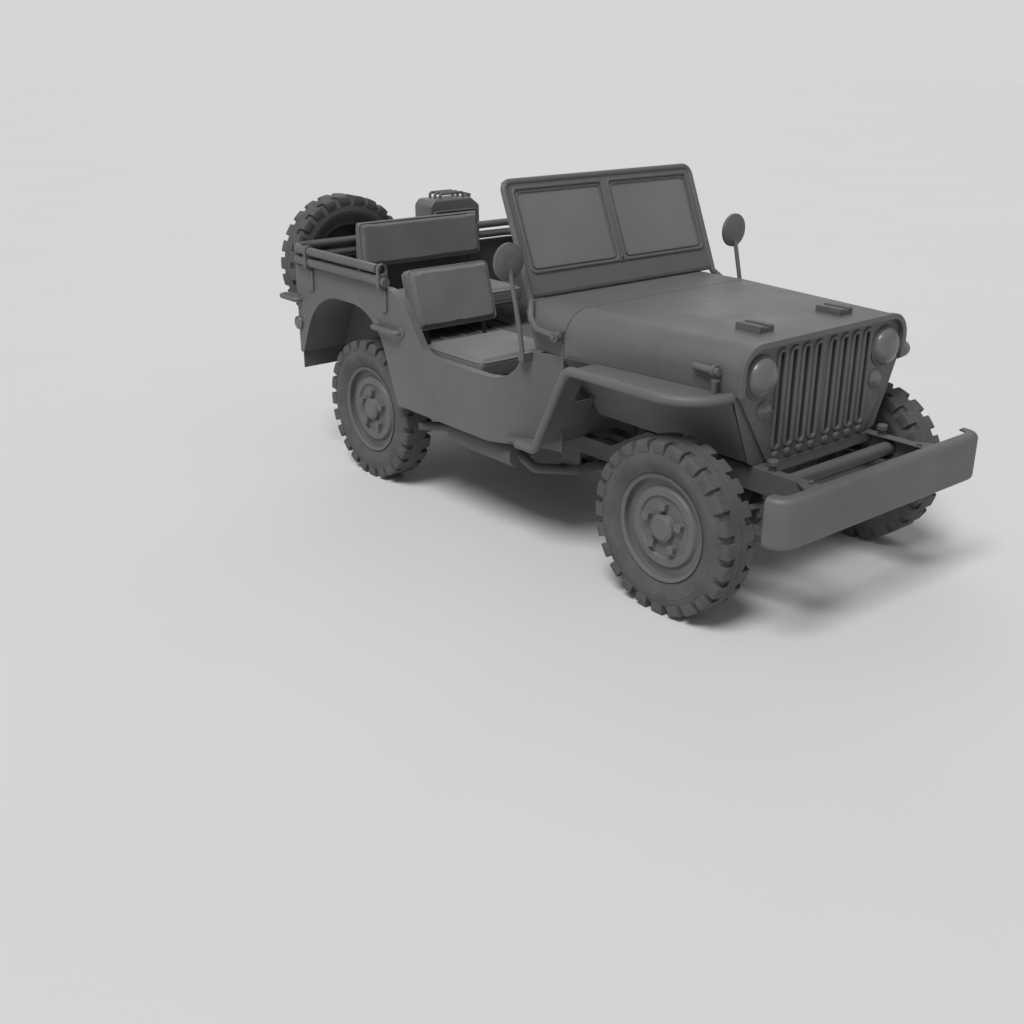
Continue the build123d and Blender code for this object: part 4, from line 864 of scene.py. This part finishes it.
def make_shield_trim():
    """Mouldings and beading round the panes, a raised divider between them and the seal at the foot."""
    bm = bmesh.new()
    bars = [
        (MOULDING_OUT, MOULDING_LEVEL, MOULDING_R), (MOULDING_OUT, -MOULDING_LEVEL, MOULDING_R),
        (-BEADING_IN, BEADING_LEVEL, BEADING_R),
    ]
    for part in solids_of("windshield_glass"):
        middle, (across, up, out), halves = sheet_axes(part)
        part.free()
        for grow, level, radius in bars:
            loop = rounded_loop(2 * (halves[0] + grow), 2 * (halves[1] + grow), MOULDING_CORNER)
            path = [middle + across * a + up * b + out * level for a, b in loop]
            add_tube(bm, path, radius, BEAD_SIDES, closed=True)
    # The panes are alike apart from their side, so the last one's height and lean serve for the rest
    middle.y = 0
    place = Matrix((across, up, out)).transposed().to_4x4()
    place.translation = middle
    reach = halves[1] + DIVIDER_OVER
    add_box(bm, (-DIVIDER_HALF, -reach, 0), (DIVIDER_HALF, reach, DIVIDER_LEVEL), SOFT, place)
    foot = -halves[1]
    add_box(bm, (-CLIP_HALF, foot - CLIP_H, 0), (CLIP_HALF, foot + CLIP_H, DIVIDER_LEVEL), SOFT, place)
    new_piece("pane_mouldings", bm, "windshield", "body_paint")
    seal = bmesh.new()
    edge = middle - up * (halves[1] + SEAL_DROP)
    add_tube(seal, [edge - across * SEAL_HALF, edge + across * SEAL_HALF], SEAL_R)
    new_piece("windshield_seal", seal, "windshield", "control_plastic")


def make_mirror_glass():
    """Glass in the rear of each round mirror."""
    bm = bmesh.new()
    for low, high in boxes_of("mirrors"):
        side = math.copysign(1, low.y)
        edge = high.y if side > 0 else low.y
        centre = (low.x, edge - side * MIRROR_R, high.z - MIRROR_R)
        add_lathe(bm, scaled(MIRROR_PROFILE, MIRROR_R), facing(centre, (-1, 0, 0)), LAMP_STEPS)
    new_piece("mirror_faces", bm, "chassis", "body_paint", look=mirror_glass())


def make_gauges():
    """Instruments and knobs on the dashboard."""
    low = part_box("dashboard")[0]
    bm = bmesh.new()
    for y, rise, radius in DIALS:
        hub = Vector((low.x, y, low.z + DIAL_Z + rise))
        profile = [(share * radius, height) for share, height in DIAL_PROFILE]
        add_lathe(bm, profile, facing(hub, (-1, 0, 0)), DIAL_STEPS)
        hub.x -= DIAL_PROFILE[0][1]
        for tick in range(DIAL_TICKS):
            angle = math.radians(DIAL_SWEEP * (tick / (DIAL_TICKS - 1) - 0.5))
            out = Vector((0, math.sin(angle), math.cos(angle))) * radius
            add_tube(bm, [hub + out * share for share in TICK_SPAN], TICK_R, TICK_SIDES)
        needle = Vector(NEEDLE_TOWARD) * radius
        add_tube(bm, [hub + needle * share for share in NEEDLE_SPAN], NEEDLE_R, TICK_SIDES)
    for y in KNOB_Y:
        add_lathe(bm, KNOB_PROFILE, facing((low.x, y, low.z + KNOB_Z), (-1, 0, 0)), KNOB_STEPS)
    new_piece("dash_instruments", bm, "chassis", "control_plastic")


def make_dash_rail():
    """Grab rail on the passenger's side of the dashboard."""
    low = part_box("dashboard")[0]
    bm = bmesh.new()
    start, end = DASH_RAIL_Y
    z = low.z + DIAL_Z
    bend = DASH_RAIL_BEND
    out = low.x - DASH_RAIL_OUT
    add_tube(bm, [
        (low.x, start, z), (out + bend, start, z), (out, start + bend, z), (out, end - bend, z),
        (out + bend, end, z), (low.x, end, z),
    ], DASH_RAIL_R)
    new_piece("dash_grab_rail", bm, "chassis", "body_paint")


def make_pedals():
    """Clutch, brake and accelerator beside the steering column, on arms from the toe board."""
    bm = bmesh.new()
    column = joint_at["steering_wheel_turn"].y
    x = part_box("cowl")[1].x + PEDAL_X
    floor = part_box("floor_pan")[0].z
    for shift, length, half in PEDALS:
        y = column + shift
        arm = [(x + lead, y, floor + rise) for lead, rise in PEDAL_ARM]
        add_tube(bm, arm, PEDAL_R)
        place = facing(arm[-1], PEDAL_LEAN)
        add_box(bm, (-length, -half, -PEDAL_R / 2), (length, half, PEDAL_R / 2), SOFT, place)
    new_piece("pedals", bm, "chassis", "control_plastic")


def make_bolts():
    """Hex heads on the axles' covers and the frame horns, and the radiator's stay nuts beside the grille."""
    bm = bmesh.new()
    for axle, toward in (("front_left_spin", 1), ("rear_left_spin", -1)):
        centre = joint_at[axle]
        for index in range(COVER_BOLTS):
            angle = 2 * math.pi * index / COVER_BOLTS
            y = COVER_Y + COVER_R * math.cos(angle)
            point = (centre.x + toward * COVER_REACH, y, centre.z + COVER_R * math.sin(angle))
            add_hex(bm, facing(point, (toward, 0, 0)), *COVER_BOLT)
    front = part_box("chassis_frame")[1]
    top = front.z - RAIL_DROP
    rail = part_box("leaf_springs")[1].y - RAIL_INSET
    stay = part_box("grille")[1].x + STAY_LEAD
    for y in (rail, -rail):
        for lead in RAIL_BOLTS_X:
            add_hex(bm, Matrix.Translation((front.x + lead, y, top)), *RAIL_BOLT)
        add_tube(bm, [(stay, y, top), (stay, y, top + STAY_H)], STAY_R)
        add_hex(bm, Matrix.Translation((stay, y, top + STAY_H)), *STAY_HEAD)
    new_piece("frame_bolts", bm, "chassis", "chassis_paint")


def make_spring_bolts():
    """U-bolts that clamp each spring under its axle, with their nuts and clamp plate."""
    bm = bmesh.new()
    for low, high in boxes_of("leaf_springs"):
        y = (low.y + high.y) / 2
        half = (high.y - low.y) / 2 + CLAMP_GAP
        axle = joint_at["front_left_spin" if low.x > 0 else "rear_left_spin"]
        foot = low.z - CLAMP_PLATE[2]
        for x in (axle.x - CLAMP_X, axle.x + CLAMP_X):
            path = [(x, y + half, foot - CLAMP_NUT[1])]
            for step in range(CLAMP_STEPS + 1):
                angle = math.pi * step / CLAMP_STEPS
                path.append((x, y + half * math.cos(angle), axle.z + CLAMP_TOP * math.sin(angle)))
            path.append((x, y - half, foot - CLAMP_NUT[1]))
            add_tube(bm, path, CLAMP_R)
            for side in (y - half, y + half):
                add_hex(bm, facing((x, side, foot), (0, 0, -1)), *CLAMP_NUT)
        length, over = CLAMP_PLATE[:2]
        wide = half + over
        add_box(bm, (axle.x - length, y - wide, foot), (axle.x + length, y + wide, low.z), SOFT)
    new_piece("spring_bolts", bm, "chassis", "chassis_paint")


def make_can_trim():
    """Pressed cross and rim on the fuel can's big faces."""
    bm = bmesh.new()
    low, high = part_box("fuel_can")
    middle = Vector((0, (low.y + high.y) / 2, low.z + CAN_Z))
    wide, tall = CAN_CROSS
    cross_r, rim_r = CAN_RIB_R
    for x in (low.x, low.x + CAN_D):
        middle.x = x
        for slope in (1, -1):
            end = Vector((0, wide, slope * tall))
            add_tube(bm, [middle - end, middle + end], cross_r)
        add_tube(bm, [middle + Vector((0, a, b)) for a, b in rounded_loop(*CAN_RIM)], rim_r, BEAD_SIDES, True)
    new_piece("can_pressings", bm, "chassis", "body_paint")


def make_handle_feet():
    """Round feet where the side handles meet the body."""
    bm = bmesh.new()
    sides = body_sides()
    for low, high in boxes_of("grab_handles"):
        if low.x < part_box("rear_panel")[0].x:
            continue
        side = int(math.copysign(1, low.y))
        for x in (low.x + HANDLE_R, high.x - HANDLE_R):
            place = facing((x, sides[side], (low.z + high.z) / 2), (0, side, 0))
            add_lathe(bm, FOOT_PROFILE, place, SMALL_STEPS)
    new_piece("handle_feet", bm, "chassis", "body_paint")


def make_floor_ribs():
    """Pressed ribs along the rear and front floors."""
    bm = bmesh.new()
    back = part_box("rear_panel")[0].x
    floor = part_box("floor_pan")[0].z
    for reach, rise, places in (REAR_RIBS, FRONT_RIBS):
        for y in places:
            add_tube(bm, [(back + lead, y, floor + rise) for lead in reach], RIB_R, RIB_SIDES)
    new_piece("floor_ribs", bm, "chassis", "body_paint")


# Stage


def make_floor():
    """Plain pale floor, reaching past every view."""
    bm = bmesh.new()
    reach = FLOOR_REACH
    corners = ((-reach, -reach), (reach, -reach), (reach, reach), (-reach, reach))
    bm.faces.new([bm.verts.new((x, y, -FLOOR_DROP)) for x, y in corners])
    mesh = bpy.data.meshes.new("floor")
    bm.to_mesh(mesh)
    bm.free()
    look = Look("studio_floor")
    clouds = look.tint(look.noise(scale=0.6, detail=3), FLOOR_TONE, dark=0.99, light=1.0)
    mesh.materials.append(look.use(clouds, look.remap(look.noise(scale=2), low=0.8, high=0.9)))
    linked("floor", mesh)


def make_sky():
    """Even white light, seen by the camera as the floor's own grey."""
    world = bpy.data.worlds.new("studio")
    world.use_nodes = True
    bpy.context.scene.world = world
    tree = world.node_tree
    light = tree.nodes["Background"]
    light.inputs["Color"].default_value = (1, 1, 1, 1)
    light.inputs["Strength"].default_value = SKY_STRENGTH
    shown = tree.nodes.new("ShaderNodeBackground")
    shown.inputs["Color"].default_value = grey(FLOOR_TONE)
    path = tree.nodes.new("ShaderNodeLightPath")
    choose = tree.nodes.new("ShaderNodeMixShader")
    tree.links.new(path.outputs["Is Camera Ray"], choose.inputs[0])
    tree.links.new(light.outputs[0], choose.inputs[1])
    tree.links.new(shown.outputs[0], choose.inputs[2])
    tree.links.new(choose.outputs[0], tree.nodes["World Output"].inputs["Surface"])


def make_suns():
    """Soft key light from above and a faint one from behind."""
    for name, (toward, strength, softness) in SUNS.items():
        data = bpy.data.lights.new(name, "SUN")
        data.energy = strength
        data.angle = math.radians(softness)
        sun = linked(name, data)
        sun.rotation_euler = Vector(toward).to_track_quat("Z", "Y").to_euler()


def make_camera():
    """Camera at the photograph's place and angle."""
    data = bpy.data.cameras.new("camera")
    data.lens = CAMERA_LENS_MM
    data.sensor_width = CAMERA_SENSOR_MM
    camera = linked("camera", data)
    camera.location = CAMERA_AT
    camera.rotation_euler = Vector(CAMERA_TOWARD).to_track_quat("-Z", "Y").to_euler()
    bpy.context.scene.camera = camera


bpy.context.scene.view_settings.view_transform = "Standard"
make_camera()
make_floor()
make_sky()
make_suns()
make_tyres()
make_pads("front_seat_pads", "front_seat")
make_pads("rear_seat_pads", "rear_seat")
make_reflectors()
make_tail_lamps()
make_lamp_trim()
make_grille_trim()
make_flanges()
make_shield_trim()
make_mirror_glass()
make_gauges()
make_dash_rail()
make_pedals()
make_bolts()
make_spring_bolts()
make_can_trim()
make_handle_feet()
make_floor_ribs()
